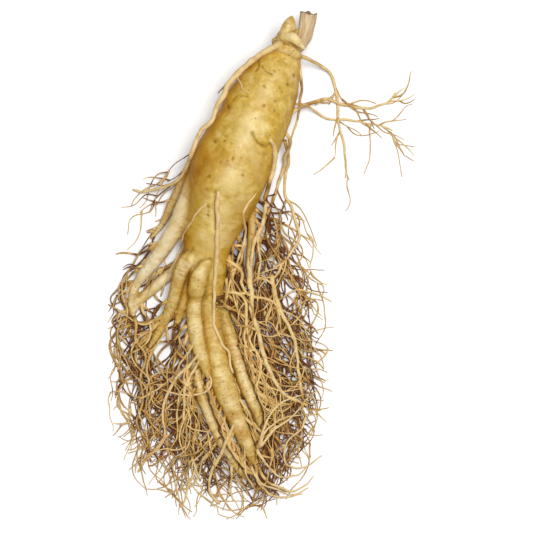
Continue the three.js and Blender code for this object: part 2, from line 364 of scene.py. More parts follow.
FORK = 96  # how far down the body its legs part
is_body = owner == 0
rng = np.random.default_rng(11)
RINGS = [  # where rings cross the body, in millimetres from the crown, and how deep they are
    (np.cumsum(rng.uniform(0.7, 1.8, 14)), 0.17),
    (rng.uniform(16, 95, 26), 0.14),
    (np.cumsum(rng.uniform(1.6, 5.0, 44)) + FORK, 0.20)]
LEG_RING_DEPTH = 0.18
angle = np.arctan2(over, side)
creases = np.zeros(len(body_points))
creases[is_body] = np.maximum.reduce([
    depth * ring_creases(along[is_body], angle[is_body], spots, rng) for spots, depth in RINGS])
for i, name in enumerate(names[1:], 1):
    mine = owner == i
    spots = np.cumsum(rng.uniform(2.0, 6.0, 24))
    creases[mine] = LEG_RING_DEPTH * ring_creases(along[mine], angle[mine], spots, rng)
print("body length, mm:", round(float(along[is_body].max())), "deepest ring, mm:", creases.max().round(2))

# %% Swellings, lumps and grain, as heights in millimetres
SWELL, LUMP, BUMP, GRAIN = 0.8, 0.3, 0.11, 0.09
DRAWN_ACROSS = [0.5, 0.5, 1.6]  # the grain is longer round a limb than along it
skin_space = np.stack([side, over, along], axis=1)
relief = SWELL * noise(body_points, 15.0) * np.clip(share[0], 0, 1)
relief += LUMP * noise(body_points, 6.5, 3.1) + BUMP * noise(body_points, 2.6, 7.7)
relief += GRAIN * noise(skin_space * DRAWN_ACROSS, 1.7, 1.3)
relief -= creases
print("relief, mm:", relief.min().round(2), "to", relief.max().round(2))

# %% [markdown]
# ## A mesh that remembers how it was made
# Every piece goes through one helper. It turns millimetres into metres, smooths the shading and stores the
# values that the materials read: how golden and how stained the skin is, and its painted shade and painted
# highlights, at each point.

# %% Make a Blender piece from points and faces
def make_piece(name, points, faces, values=None, vectors=None):
    """A mesh object in the model's own frame. points are in route millimetres."""
    mesh = bpy.data.meshes.new(name)
    mesh.from_pydata(((points - ROUTE_ORIGIN) * MM).tolist(), [], [list(map(int, f)) for f in faces])
    for key, numbers in (values or {}).items():
        layer = mesh.attributes.new(key, "FLOAT", "POINT")
        layer.data.foreach_set("value", np.asarray(numbers, np.float32))
    for key, rows in (vectors or {}).items():
        layer = mesh.attributes.new(key, "FLOAT_VECTOR", "POINT")
        layer.data.foreach_set("vector", np.asarray(rows, np.float32).ravel())
    mesh.polygons.foreach_set("use_smooth", [True] * len(mesh.polygons))
    mesh.update()
    piece = bpy.data.objects.new(name, mesh)
    bpy.context.scene.collection.objects.link(piece)
    print(f"{name}: {len(points)} points, {len(faces)} faces")
    return piece


print("millimetres to a metre:", round(1 / MM))

# %% [markdown]
# ## Pits, folds and swellings with a place of their own
# Some marks are not chance: the scar of a broken rootlet, the fold over a root's base, the cleft between a
# knuckle and the leg below it. In sculpt mode each would be a stroke of the brush. Here each is a row in a
# list, so that it can be moved or deepened later without doing the others again.

# %% The marks
PITS = [  # x, y, radius and depth of the marks on the side that shows
    (11.5, 58, 0.9, 0.5), (16.6, 60.2, 0.6, 0.35), (16.2, 56, 0.6, 0.35), (11.7, 66.8, 0.8, 0.4),
    (21.9, 67.9, 0.7, 0.4), (16, 73.3, 0.7, 0.4), (17.9, 78, 0.5, 0.3), (24.7, 72.4, 0.6, 0.3),
    (-6, 42.9, 0.7, 0.4), (-10.4, 42.8, 0.9, 0.4), (-2, 34.8, 0.8, 0.4), (-7.5, 33.3, 0.6, 0.4),
    (2.4, 27.4, 0.6, 0.35), (-13, 27, 1.0, 0.45), (-4.6, 58.2, 0.9, 0.5), (-9.4, 14.4, 0.6, 0.3),
    (-13, 13.8, 0.8, 0.45), (-12.8, 12, 0.7, 0.4), (-13, 10.3, 0.7, 0.4), (-11.4, 13.4, 0.5, 0.3),
    (-11, -58, 0.7, 0.3), (-8.6, -66, 0.6, 0.3), (-6.4, -74, 0.7, 0.35), (-2.6, -79, 0.6, 0.3),
    (-17.6, -21.6, 0.6, 0.3), (-19.6, -42, 0.6, 0.25), (19.4, 64.6, 0.5, 0.3), (7.6, 70.4, 0.5, 0.25)]
FOLDS = [  # creases drawn as short lines: points, half-width and depth
    ([(6.4, 46), (7.6, 43.4), (9.4, 41.4), (12, 40.6), (14.8, 42.4)], 0.75, 0.4),
    ([(8.6, 80), (9.4, 76.4), (8.2, 73.8)], 0.5, 0.5), ([(10.8, 75.6), (12.6, 73.2), (15, 72)], 0.45, 0.4),
    ([(-2, 60.8), (0.6, 62.6), (4.4, 62)], 0.5, 0.22),
    ([(-13.6, 21.4), (-11, 20.2), (-9.2, 20.6)], 0.8, 0.26),
    ([(-6.4, 18.2), (-3.6, 17.6), (-1, 18.2)], 0.8, 0.14),
    ([(-9.8, 19.6), (-10, 12), (-9.9, 4)], 0.55, 0.4),
    ([(-22.8, -21.2), (-22, -17.6), (-20.6, -14.7), (-16.6, -10.3), (-12.3, -9.2)], 0.6, 0.42),
    ([(-11.4, -9.9), (-12.3, -14.3), (-13.6, -18.6), (-14.6, -23), (-15.1, -26.6)], 0.7, 0.22),
    ([(-22.4, -27.3), (-18.8, -26.9), (-15.1, -26.6), (-12.6, -25.4)], 0.6, 0.2),
    ([(-20.4, -5), (-22.6, -7.6), (-24.9, -11), (-27.1, -15)], 0.7, 0.22)]
SWELLINGS = [  # broad bulges and dents: x, y, reach and height
    (5.2, 50.4, 6.5, 0.9), (2.2, 42.4, 5.5, 0.7), (12.6, 64.6, 6.0, 0.5), (-2.4, 24.6, 6.5, 0.9),
    (14.8, 47.6, 4.5, 0.7), (-11, 27, 5.0, 0.4), (9.6, 33.4, 4.0, -0.6), (-8.6, 38.6, 4.5, -0.7),
    (-4.6, 57.8, 3.6, -0.8), (17.4, 57, 4.0, -0.5), (-9, 15.6, 4.0, -0.6), (2.6, 12.6, 4.5, -0.5)]
print(len(PITS), "pits,", len(FOLDS), "folds,", len(SWELLINGS), "swellings")

# %% Cut the marks and push the skin out to its relief
LOWEST = 0.02  # nothing goes below the table
shows = np.clip(body_normals[:, 2] * 3, 0, 1)  # 1 on the side that faces up, 0 below
marks = np.zeros(len(body_points))
pits = np.zeros(len(body_points))
wobble = 0.35 * np.stack([noise(body_points, 1.2, 2.0), noise(body_points, 1.2, 6.0)], axis=1)
for x, y, radius, depth in PITS:
    far = np.hypot(*(body_points[:, :2] + wobble - (x, y)).T)
    pits += shows * depth * np.exp(-(far / (0.75 * radius)) ** 2)
marks += pits
for line, half, depth in FOLDS:
    track = smooth_line([(x, y, 0, 0) for x, y in line], 0.5)[:, :2]
    far = np.min([np.hypot(*(body_points[:, :2] - p).T) for p in track], axis=0)
    marks += shows * depth * np.exp(-(far / half) ** 2)
    relief += shows * 0.5 * depth * np.exp(-((far - 2.0) / 1.3) ** 2)
for x, y, reach, height in SWELLINGS:
    far = np.hypot(body_points[:, 0] - x, body_points[:, 1] - y)
    relief += shows * height * np.exp(-(far / reach) ** 2)
relief -= marks
body_points += body_normals * relief[:, None]
body_points[:, 2] = np.maximum(body_points[:, 2], LOWEST)
print("deepest mark, mm:", marks.max().round(2))

# %% [markdown]
# ## Painted shade in creases and corners
# Narrow creases, and the wider corners between two limbs, get painted shade. A renderer can find both as
# ambient occlusion, but that is lost when the model is exported. The bend of the skin over a few cells
# finds the creases, and the distance field, looked up a little way outside the skin, finds the
# corners.

# %% Measure creases and sheltered corners for painted shade, near and far
BEND_ROUNDS = 5
FULL_CREASE = 0.16  # a bend this deep, in millimetres, counts as a whole crease


def field_at(field, axes, points):
    """The field's value at each point, from the nearest lattice corner."""
    cell = axes[0][1] - axes[0][0]
    where = [np.clip(np.round((points[:, i] - axes[i][0]) / cell).astype(int), 0, len(axes[i]) - 1)
             for i in range(3)]
    return field[tuple(where)]


def bend_of(points, quads, normals, rounds):
    """Positive in creases and negative on ridges, in millimetres over a few cells."""
    edges = np.vstack([quads[:, [i, (i + 1) % 4]] for i in range(4)])
    edges = np.vstack([edges, edges[:, ::-1]])
    count = np.bincount(edges[:, 0], minlength=len(points))[:, None]
    smooth = points.copy()
    for _ in range(rounds):
        total = np.zeros_like(smooth)
        for i in range(3):
            total[:, i] = np.bincount(edges[:, 0], smooth[edges[:, 1], i], len(points))
        smooth = total / count
    return np.einsum("ij,ij->i", smooth - points, normals)


body_normals = normals_of(body_points, body_quads)
crease = np.clip(bend_of(body_points, body_quads, body_normals, BEND_ROUNDS) / FULL_CREASE, 0, 1)
# painted shade in the corners between limbs, where the field is near just outside the skin
corner_shade = np.mean([np.clip(1 - field_at(field, field_axes, body_points + body_normals * d) / d, 0, 1)
                   for d in (1.5, 3.0)], axis=0)
print("creased share:", (crease > 0.5).mean().round(3), "sheltered:", (corner_shade > 0.3).mean().round(3))

# %% [markdown]
# ## Where the skin is golden, pale or stained, and where it has painted shade or highlights
# The body is golden and the legs are paler. A few places on top are paler skin with painted highlights, and
# rusty stains gather at the waist, on the flanks and where the legs part; on the flanks they also stand in
# for painted shade. Vertex paint would hold this, but it is tied to one mesh. Soft spots with a place, a
# reach and a strength give the same and survive a change of the lattice.

# %% The stained places, with painted shade on the flanks, and the pale places, with painted highlights
# Real stains, and on the flanks large stains that also stand in for painted shade.
STAINS_AND_FLANK_SHADE = [  # x, y, z, reach and strength
    (-7, 58, 20, 7, 1.0), (-3.6, 58, 25, 3, 0.7), (-13, 48, 19, 8, 0.8), (-18, 37, 20, 9, 0.85),
    (-20, 26, 14, 10, 0.95), (-15, 27, 24, 6, 0.75), (-1, 66, 20, 5, 0.7), (5, 77, 22, 5, 0.75),
    (24, 64, 14, 6, 0.6), (21, 48, 14, 6, 0.6), (13, 30, 16, 6, 0.6), (8, 16, 12, 7, 0.8),
    (2, 4, 12, 6, 0.7), (-2, -4, 9, 5, 0.7), (-20, 1.4, 16, 5, 0.45), (-21, 9, 8, 4, 0.5),
    (-12, -12, 17, 4, 0.2), (-23, -18, 12, 4, 0.5), (-0.6, -88.6, 5, 3.2, 0.85), (5.6, -101, 2, 3, 0.6),
    (-17.5, 30, 25, 6, 1.0), (-14, 48, 22, 6, 0.9), (-17, 24, 24, 5, 0.9), (-19, 1, 21, 5, 0.3),
    (-17, 24, 28, 5, 0.7), (-13.5, 34.5, 30, 5.5, 0.6), (10, 31, 28, 6, 0.45), (23.5, 72, 22, 5, 0.35),
    (-2.6, -79.4, 8.8, 2, 1.0), (-5, -82, 5, 2.6, 0.8), (1.8, -87.8, 7.6, 2.4, 1.0),
    (26, 61, 18, 5, 0.8), (-2, 3, 21, 5.5, 0.35), (2, 10.6, 22, 6, 0.45), (4.5, 18, 22, 5, 0.35),
    (-4.6, -5, 16, 5, 0.25), (-19.5, 32.5, 24, 5, 0.6), (-11, -40, 9, 4, 0.4), (-12, -70, 4, 5, 0.5)]
PALE_AND_HIGHLIGHT_PLACES = [  # x, y, reach and strength of the paler places on top, partly painted highlights
    (5.4, 50.4, 7, 0.9), (2.4, 43.6, 6, 0.8), (6, 37.4, 5, 0.7), (12, 63, 7, 0.5), (-2.6, 24.4, 7, 0.9),
    (8.4, 28.4, 4, 0.5), (-14, 11, 5, 0.9), (-1, 11, 5, 0.4), (0.8, -82.6, 4, 0.8),
    (-4, -73.8, 3.4, 0.8), (16, 72, 6, 0.4), (-25, 24, 4, 0.8), (-1, -50, 4, 0.5), (2, -60, 5, 0.6),
    (5.6, -71, 4, 0.6), (-14, -78, 4, 0.5), (-10.8, -86, 4, 0.5), (-7.6, -93, 4, 0.4),
    (-5.4, 12.2, 4.2, 0.95), (-17.2, -16, 3.4, 0.7), (-20, -38, 6, 0.8), (-16, -52, 5, 0.7),
    (-5, -68, 5, 0.3), (-27, 11, 5, 0.9), (-31.5, 2, 6, 0.9), (-38, -10, 5, 0.7), (-43, -16.4, 5, 0.7),
    (-34, -18, 5, 0.5), (-9, 9, 8, 0.75), (-12, -2, 7, 0.65), (2, 15, 5, 0.8), (-2, 4, 5, 0.75),
    (-11, -14, 4, 0.4), (-12, -48, 4, 0.25), (-7, -62, 6, 0.5), (-3, -76, 5, 0.5), (4, -93.6, 4, 0.7),
    (-8, 0, 6, 0.6), (-21, -12, 4, 0.5), (-24, -17, 3.4, 0.5), (-17.4, -30, 3, 0.6),
    (-11.6, -33, 3.4, 0.4), (-25, 17, 5, 0.9), (-18, 8, 5, 0.5), (-18.6, -6, 4.5, 0.5),
    (-14, -10.4, 3.6, 0.5), (-6.4, 0, 5, 0.8), (-15.6, 3, 5, 0.6), (-12, 17, 5, 0.5)]
print(len(STAINS_AND_FLANK_SHADE), "stains,", len(PALE_AND_HIGHLIGHT_PLACES), "cream places")

# %% Spread them over the skin
gold = sum(share[i] * GOLD[name] for i, name in enumerate(names))
fade = np.clip((along - 108) / 60, 0, 1) * is_body  # the body pales towards its tip
gold = np.clip(gold - 0.3 * fade + 0.12 * noise(body_points, 10.0, 5.5), 0, 1)
# paler skin and painted highlights, on the side that faces up
cream = np.zeros(len(body_points))
for x, y, reach, strength in PALE_AND_HIGHLIGHT_PLACES:
    far = np.hypot(body_points[:, 0] - x, body_points[:, 1] - y) / reach
    cream = np.maximum(cream, strength * shows * np.exp(-far ** 2))
# stains, which on the flanks also serve as painted shade
stain = np.zeros(len(body_points))
for x, y, z, reach, strength in STAINS_AND_FLANK_SHADE:
    far = np.linalg.norm(body_points - (x, y, z), axis=1) / reach
    stain = np.maximum(stain, strength * np.exp(-far ** 2))
print("golden:", gold.mean().round(2), "cream:", cream.mean().round(2), "stained:", stain.mean().round(2))

# %% [markdown]
# Skin that faces away from the lit side gets painted shade on the flanks, laid on by the way the skin faces,
# with a ragged edge from noise; the two pale legs get least of it. The values are then stored on the
# mesh, for the finish to read.

# %% Painted shade on the flanks, and the body's mesh
LIT_FROM = (0.2, 0.06, 0.98)  # skin that faces away from this direction gets painted shade
pale_leg = sum(share[i] for i, name in enumerate(names) if name in ("left_leg", "lower_left_leg"))
# how far the skin faces the lit direction
lean = body_normals @ LIT_FROM
# painted shade on the flanks, darker as the skin turns away from the light
soil = np.clip((0.85 - lean + 0.2 * noise(body_points, 6.0, 4.1)) / 0.66, 0, 1) * (1 - 0.6 * pale_leg)
stain = stain * (1 - 0.75 * pale_leg) + 0.3 * np.clip(noise(body_points, 7.0, 9.9), 0, 1) * stain
# the corners between limbs add painted shade to the stains
stain = np.clip(stain + 0.5 * corner_shade, 0, 1)
# painted shade in creases, folds and pits
hollow = np.clip(0.8 * crease + 0.5 * marks / 0.5 + 1.1 * pits / 0.5, 0, 1)
coarse = np.clip(np.where(is_body, (along - FORK) / 30, 1 - pale_leg), 0, 1)
limb_space = np.stack([side, over, along + 40 * owner], axis=1)
body = make_piece("root_body", body_points, body_quads,
                  {"gold": gold, "stain": stain, "hollow": hollow, "cream": cream, "soil": soil,
                   "coarse": coarse}, {"limb_space": limb_space})

# %% [markdown]
# ## The crown
# Each year's stem leaves a scar on a short neck, and next year's bud waits at its tip. The neck wears a
# rolled collar where it meets the body. These parts are only a few millimetres across, so they get a
# lattice of their own with cells half as wide.

# %% The routes of the neck, collar and buds
CROWN_CELL = 0.25
CROWN_LOW = np.array([9.0, 72.0, 7.0])
CROWN_HIGH = np.array([33.0, 101.0, 29.0])
NECK = [(20.2, 79.6, 17.6, 7.6), (21.2, 84, 18.4, 6.4), (21.8, 87.2, 18.8, 5.6), (22.2, 89.6, 18.8, 4.7),
        (22.6, 92, 18.8, 3.4)]
WINTER_BUD = [(21.4, 88.4, 20.4, 3.5), (21.9, 91.6, 21.8, 3.3), (22.8, 94.6, 22.6, 2.8),
              (23.4, 96.8, 22.9, 1.7), (23.9, 98.4, 23, 0.6)]
SIDE_BUD = [(21.4, 89.2, 22.6, 2.7), (23.8, 89, 24.2, 2.5), (26.2, 87.4, 24.8, 1.9),
            (28, 85.6, 24.2, 1.2), (29.6, 84, 23.4, 0.5)]
SCARS = [
    [(18.6, 86.6, 17.4, 2.8), (17.2, 88, 17.2, 2)], [(19.8, 89.2, 16.6, 2.4), (18.9, 90.6, 16.2, 1.7)],
    [(23.6, 85.2, 13.4, 2.6), (24.4, 86.6, 12.4, 2.2)], [(24.8, 90.4, 18.4, 2.2), (26, 92, 18.2, 1.4)]]
turn = np.linspace(0, 2 * math.pi, 26)
COLLAR = [(21.3 + 5.4 * math.sin(t), 82.6 - 1.2 * math.sin(t - 0.3) + 0.4 * math.cos(2 * t),
           18.2 + 6.3 * math.cos(t), 2.3 + 0.2 * math.sin(3 * t + 1)) for t in turn]
ON_NECK, ON_COLLAR, ON_WINTER_BUD, ON_SIDE_BUD, FIRST_SCAR = range(5)
crown_lines = [smooth_line(NECK, 0.8), smooth_line(COLLAR, 0.8), smooth_line(WINTER_BUD, 0.6),
               smooth_line(SIDE_BUD, 0.6), *[smooth_line(scar, 0.6) for scar in SCARS]]
crown_melts = [0.5, 0.7, 0.7, 0.5] + [0.8] * len(SCARS)
print("crown:", len(crown_lines), "lines,", sum(map(len, crown_lines)), "steps")

# %% Skin the crown
crown_field, crown_axes = empty_field(CROWN_LOW, CROWN_HIGH, CROWN_CELL)
for line, softness in zip(crown_lines, crown_melts):
    melt(crown_field, *limb_field(crown_axes, line), softness)
crown_points, crown_quads = skin_of(crown_field, crown_axes)
c_owner, c_along, c_side, c_over, c_share = skin_places(crown_points, crown_lines)
c_normals = normals_of(crown_points, crown_quads)
print("crown skin:", len(crown_points), "points")

# %% [markdown]
# The neck is the oldest part and the roughest: stem scars, close rings and corky lumps. The buds are this
# year's growth, smooth and tight. One share per point, which is high on the neck and low on the buds,
# scales the same lumps and rings for both.

# %% Wrinkle the crown
CROWN_RING_DEPTH = 0.26
CLOSE, WIDE = 0.9, 1.7  # gaps between rings on the neck and scars, and on the rest
c_angle = np.arctan2(c_over, c_side)
rough = 1 - 0.6 * (c_share[ON_WINTER_BUD] + c_share[ON_SIDE_BUD])
c_rings = np.zeros(len(crown_points))
rng = np.random.default_rng(5)
for i in range(len(crown_lines)):
    mine = c_owner == i
    gap = CLOSE if i == ON_NECK or i >= FIRST_SCAR else WIDE
    spots = np.cumsum(rng.uniform(0.6, 1.4, 22) * gap)
    c_rings[mine] = CROWN_RING_DEPTH * ring_creases(c_along[mine], c_angle[mine], spots, rng)
c_rings[c_owner == ON_COLLAR] *= 0.35
c_relief = 0.35 * noise(crown_points, 2.6) + 0.16 * noise(crown_points, 1.0, 4.4) - c_rings
crown_points += c_normals * (rough * c_relief)[:, None]
print("crown relief, mm:", (rough * c_relief).min().round(2), "to", (rough * c_relief).max().round(2))

# %% Colour the crown and make its mesh
c_normals = normals_of(crown_points, crown_quads)
c_crease = np.clip(bend_of(crown_points, crown_quads, c_normals, 8) / 0.12, 0, 1)
# painted shade in the crown's corners
c_corner_shade = np.mean([np.clip(1 - field_at(crown_field, crown_axes, crown_points + c_normals * d) / d, 0, 1)
                     for d in (0.8, 1.8)], axis=0)
tan = c_share[ON_NECK] + 0.8 * c_share[ON_COLLAR] + c_share[FIRST_SCAR:].sum(0)
ripe = np.clip(0.6 + 0.25 * noise(crown_points, 3.0, 2.2), 0, 1)
patchy = np.clip(0.4 + noise(crown_points, 2.2), 0, 1)
bud_base = np.exp(-((c_along - 1.2) / 1.6) ** 2) * (c_owner == ON_WINTER_BUD)
bud_tip = c_share[ON_WINTER_BUD] * np.clip((c_along - 5) / 4, 0, 1)
# painted shade in the corners, with stains at the bud's base, on the neck and at the bud's tip
c_stain_and_shade = 0.5 * c_corner_shade + 0.7 * bud_base + 0.2 * tan * patchy + 0.4 * bud_tip
c_stain_and_shade = np.clip(c_stain_and_shade * (1 - 0.7 * c_share[ON_SIDE_BUD]), 0, 1)
# paler side bud with a painted highlight, and paler patches on the collar
c_pale_and_highlight = c_share[ON_SIDE_BUD] * np.clip(1.3 - c_along / 14, 0, 1)
c_pale_and_highlight += 0.5 * c_share[ON_COLLAR] * (1 - patchy)
# the crown's creases, sides and underside get painted shade
crown = make_piece("crown", crown_points, crown_quads,
                   {"gold": np.clip(ripe + 0.35 * tan, 0, 1), "stain": c_stain_and_shade, "hollow": c_crease,
                    "tan": np.clip(tan, 0, 1), "soil": np.clip((0.6 - c_normals[:, 2]) / 0.9, 0, 1),
                    "cream": np.clip(c_pale_and_highlight, 0, 1)},
                   {"limb_space": np.stack([c_side, c_over, c_along + 9 * c_owner], axis=1)})

# %% [markdown]
# ## The dry stem stub
# Last year's stem died back and was snapped off. Its stub is fibrous, ribbed along its length and sunken at
# the broken end. Rings of points along a centreline, with the radius waving round each ring, give ribs; a
# few more rings that step inwards and down make the broken end.

# %% Rings of points along a line
def ring_frames(line):
    """Centres, sideways and upward directions for rings across a line."""
    centre = line[:, :3]
    ahead = np.gradient(centre, axis=0)
    ahead /= np.linalg.norm(ahead, axis=1, keepdims=True)
    across = np.cross(ahead, [0, 0, 1.0])
    across /= np.maximum(np.linalg.norm(across, axis=1, keepdims=True), 1e-6)
    return centre, across, np.cross(across, ahead), ahead


def tube_faces(rings, sides, first=0):
    """Faces of a tube whose last two points close its ends."""
    a = first + (np.arange(rings - 1)[:, None] * sides + np.arange(sides)).ravel()
    b = first + (np.arange(rings - 1)[:, None] * sides + (np.arange(sides) + 1) % sides).ravel()
    wall = np.stack([a, b, b + sides, a + sides], axis=1)
    start, end = first + rings * sides, first + rings * sides + 1
    edge, after = np.arange(sides), (np.arange(sides) + 1) % sides
    low = np.stack([np.full(sides, start), first + after, first + edge], axis=1)
    top = first + (rings - 1) * sides
    high = np.stack([np.full(sides, end), top + edge, top + after], axis=1)
    return wall, np.vstack([low, high])


print("a tube of 4 rings with 6 sides has", sum(map(len, tube_faces(4, 6))), "faces")

# %% The stub's ribbed wall
STEM = [(24.4, 83.8, 14.2, 2.5), (27.6, 86.6, 14.6, 2.7), (29.6, 90.6, 15.4, 3.2), (30.7, 95.4, 16.4, 3.6),
        (31.5, 100.3, 17.4, 3.9)]
stem_line = smooth_line(STEM, 0.35)
centre, across, rise, ahead = ring_frames(stem_line)
SIDES = 56
FLATTENED = 0.86  # the stub is wider than it is thick
KNOT_AT, KNOT_SIZE = 9, 0.05  # the old leaf joint
spin = np.linspace(0, 2 * math.pi, SIDES, endpoint=False)
rows, facts = [], []
length = np.concatenate([[0], np.cumsum(np.linalg.norm(np.diff(centre, axis=0), axis=1))])
for i, far in enumerate(length):
    ribs = 0.045 * np.sin(11 * spin + 0.4 * math.sin(far / 4)) + 0.03 * np.sin(5 * spin + 1 + far / 9)
    knot = KNOT_SIZE * math.exp(-((far - KNOT_AT) / 1.3) ** 2)
    radius = stem_line[i, 3] * (1 + ribs + knot)
    flat = np.sin(spin) * radius * FLATTENED
    rows.append(centre[i] + np.outer(np.cos(spin) * radius, across[i]) + np.outer(flat, rise[i]))
    facts.append(np.stack([np.cos(spin) * 3, np.sin(spin) * 3, np.full(SIDES, far)], axis=1))
print("stub:", len(rows), "rings,", round(float(length[-1]), 1), "mm long")

# %% Its ragged, sunken broken end, and the mesh
BROKEN = ((1.0, 0.45), (0.93, 0.5), (0.8, 0.2), (0.62, -0.5), (0.4, -1.1), (0.2, -1.5))  # how wide, how high
rim = rows[-1]
ragged = 0.55 * np.sin(3 * spin + 0.5) + 0.35 * np.sin(7 * spin)
for share_in, sink in BROKEN:
    lift = sink + ragged * share_in ** 3 * 0.8
    rows.append(centre[-1] + (rim - centre[-1]) * share_in + np.outer(lift, ahead[-1]))
    facts.append(facts[-1] * [share_in, share_in, 1])
stem_points = np.vstack([*rows, centre[:1], rows[-1].mean(0, keepdims=True)])
stem_space = np.vstack([*facts, facts[0].mean(0, keepdims=True), facts[-1].mean(0, keepdims=True)])
wall, caps = tube_faces(len(rows), SIDES)
cut = np.zeros(len(stem_points))
cut[len(stem_line) * SIDES:] = 1
stem_points += 0.12 * np.stack([noise(stem_points, 1.6, 3.0 + i) for i in range(3)], axis=1)
stem = make_piece("stem_stub_dry", stem_points, [*wall, *caps], {"cut": cut}, {"limb_space": stem_space})

# %% [markdown]
# ## A table of heights, so that roots can lie on roots
# Thin roots have no strength of their own: they lie on the table, on the legs and on each other. A cloth or
# hair simulation could settle them, but thousands of crossings make it slow. A simpler way is to lay them
# one at a time on a map that holds the highest point so far, the way pick-up sticks are dropped.

# %% The map's cells
PILE_CELL = 0.5
PILE_LOW = np.array([-80.0, -150.0])
PILE_SHAPE = (360, 560)
STRIDE = 1.25  # the step of every thin root
AROUND = [(i, j) for i in (-1, 0, 1) for j in (-1, 0, 1)]


def pile_cells(xy):
    """The height map's cell under each point."""
    cells = np.round((xy - PILE_LOW) / PILE_CELL).astype(int)
    return np.clip(cells[..., 0], 1, PILE_SHAPE[0] - 2), np.clip(cells[..., 1], 1, PILE_SHAPE[1] - 2)


def soften(grid, rounds):
    """A blurred copy of a map."""
    for _ in range(rounds):
        grid = (4 * grid + np.roll(grid, 1, 0) + np.roll(grid, -1, 0) + np.roll(grid, 1, 1)
                + np.roll(grid, -1, 1)) / 8
    return grid


print("map, mm:", [round(n * PILE_CELL) for n in PILE_SHAPE])

# %% Lay the body on the map
flesh_top = np.zeros(PILE_SHAPE)
for solid in (body_points, crown_points, stem_points):
    np.maximum.at(flesh_top, pile_cells(solid[:, :2]), solid[:, 2])
widened = np.maximum.reduce([np.roll(flesh_top, step, (0, 1)) for step in AROUND])
closed = np.minimum.reduce([np.roll(widened, step, (0, 1)) for step in AROUND])
flesh_top = np.maximum(flesh_top, closed)
# Strands pass over the low cross leg, but not over the rest of the flesh.
barrier = flesh_top.copy()
over_cross = np.zeros(PILE_SHAPE)
over_cross[pile_cells(body_points[owner == names.index("cross_leg"), :2])] = 1
for step in AROUND:
    barrier[np.roll(over_cross, step, (0, 1)) > 0] = 0
pile = flesh_top.copy()
slope_map = soften(barrier, 12)
downhill = -np.stack(np.gradient(slope_map, PILE_CELL), axis=-1)
print("tallest flesh on the map, mm:", flesh_top.max().round(1))

# %% [markdown]
# ## How a strand comes to rest
# A thin root leaves the flesh at some height, falls, and then follows whatever it lies on without bending
# sharply. First the lowest height that clears the map is found at every step. Then the strand is smoothed
# upwards from there, more rounds for a stiffer one. Last, its own top is added to the map, so that the
# next strand lies on it.

# %% Settle a strand on the map
HEAP = 9.0  # in a heap this deep the strands are pressed flat
LIMP, STIFF = 24, 200  # rounds of smoothing
FALL = 1.1  # how steeply a strand can fall


def settle(xy, radius, start_height, leaves_flank=True, spring=LIMP):
    """Heights for a strand that comes out of the flesh and comes to rest on whatever is below it."""
    i, j = pile_cells(xy)
    wide = AROUND if radius[0] > 0.45 else [(0, 0)]
    top = np.max([pile[i + p, j + q] for p, q in wide], axis=0)
    # Strands deep in a thick heap press into each other, so a heap grows ever more slowly.
    loose = np.clip(1.25 - (top - flesh_top[i, j]) / HEAP, 0.1, 1)
    need = np.maximum(top + np.where(top > flesh_top[i, j] + 0.3, 0.6 * loose, 0.3) * radius, radius)
    if leaves_flank:
        outside = np.flatnonzero(flesh_top[i, j] <= 0.6)
        first = outside[0] if len(outside) else len(xy)
        need[:first] = radius[:first]
    elif start_height is None:
        need -= np.clip(1 - np.arange(len(xy)) * STRIDE / 7.0, 0, 1) * 1.6 * radius
        start_height = need[0]
    else:
        need[1] = min(need[1], start_height + 0.8 * radius[0])
    travelled = np.concatenate([[0], np.cumsum(np.hypot(*np.diff(xy, axis=0).T))])
    height = np.maximum(need, start_height - FALL * travelled)
    height[0] = start_height
    for _ in range(spring):
        height[1:-1] = np.maximum(need[1:-1], (height[:-2] + 2 * height[1:-1] + height[2:]) / 4)
    for p, q in wide:
        drop = PILE_CELL * math.hypot(p, q)
        bulge = np.sqrt(np.maximum(radius ** 2 - drop ** 2, 0))
        np.maximum.at(pile, (i + p, j + q), np.where(bulge > 0, height + 0.5 * loose * bulge, 0))
    return height


print("a heap is pressed flat at, mm:", HEAP)

# %% [markdown]
# ## Rootlets
# Rootlets leave the legs and flanks sideways, turn towards the tips, wave, and kink where they met stones.
# They fork again and again into threads. Blender's hair would make them quickly, but hair is lost when a
# model is exported, so they are grown here: each strand takes small steps in a heading that waves. They are
# first planned flat, and only later dropped on the pile.

# %% How far the rootlets spread
SPREAD_MIDDLE = np.array([-9.5, -42.0])
SPREAD_HALF = np.array([46.0, 77.0])
TABLE_HALF = np.array([70.0, 118.0])  # no strand goes past this


def spread_share(xy):
    """0 at the middle of the rootlets' spread and 1 at its rim."""
    return ((np.abs(xy - SPREAD_MIDDLE) / SPREAD_HALF) ** 2.2).sum(-1) ** (1 / 2.2)


def turn_to(target, heading):
    """The shorter turn from one heading to another."""
    return (target - heading + math.pi) % (2 * math.pi) - math.pi


print("spread at the tail tip:", spread_share(np.array([8.4, -104.0])).round(2))

# %% Where a strand stops
CLIMB_LIMIT = {False: 3.4, True: 6.6}  # how high a strand, or one that climbs, may lie on the flesh
BARE = 0.8  # flesh lower than this counts as bare table


def trim(run, rim, climbs):
    """Ends a strand at the rim, or where it would climb back onto the flesh."""
    flesh = barrier[pile_cells(run)]
    outside = np.flatnonzero(flesh <= BARE)
    if not len(outside):
        return run[:0] if flesh.min() > CLIMB_LIMIT[climbs] else run
    blocked = np.flatnonzero(flesh[outside[0]:] > CLIMB_LIMIT[climbs]) + outside[0]
    off_table = (np.abs(run - ROUTE_ORIGIN[:2]) > TABLE_HALF).any(1)
    past = np.flatnonzero((spread_share(run) > rim) | off_table)
    end = min([len(run), *(blocked[:1] - 1), *past[:1]])
    return run[:end]


print("strands may lie on flesh up to, mm:", list(CLIMB_LIMIT.values()))

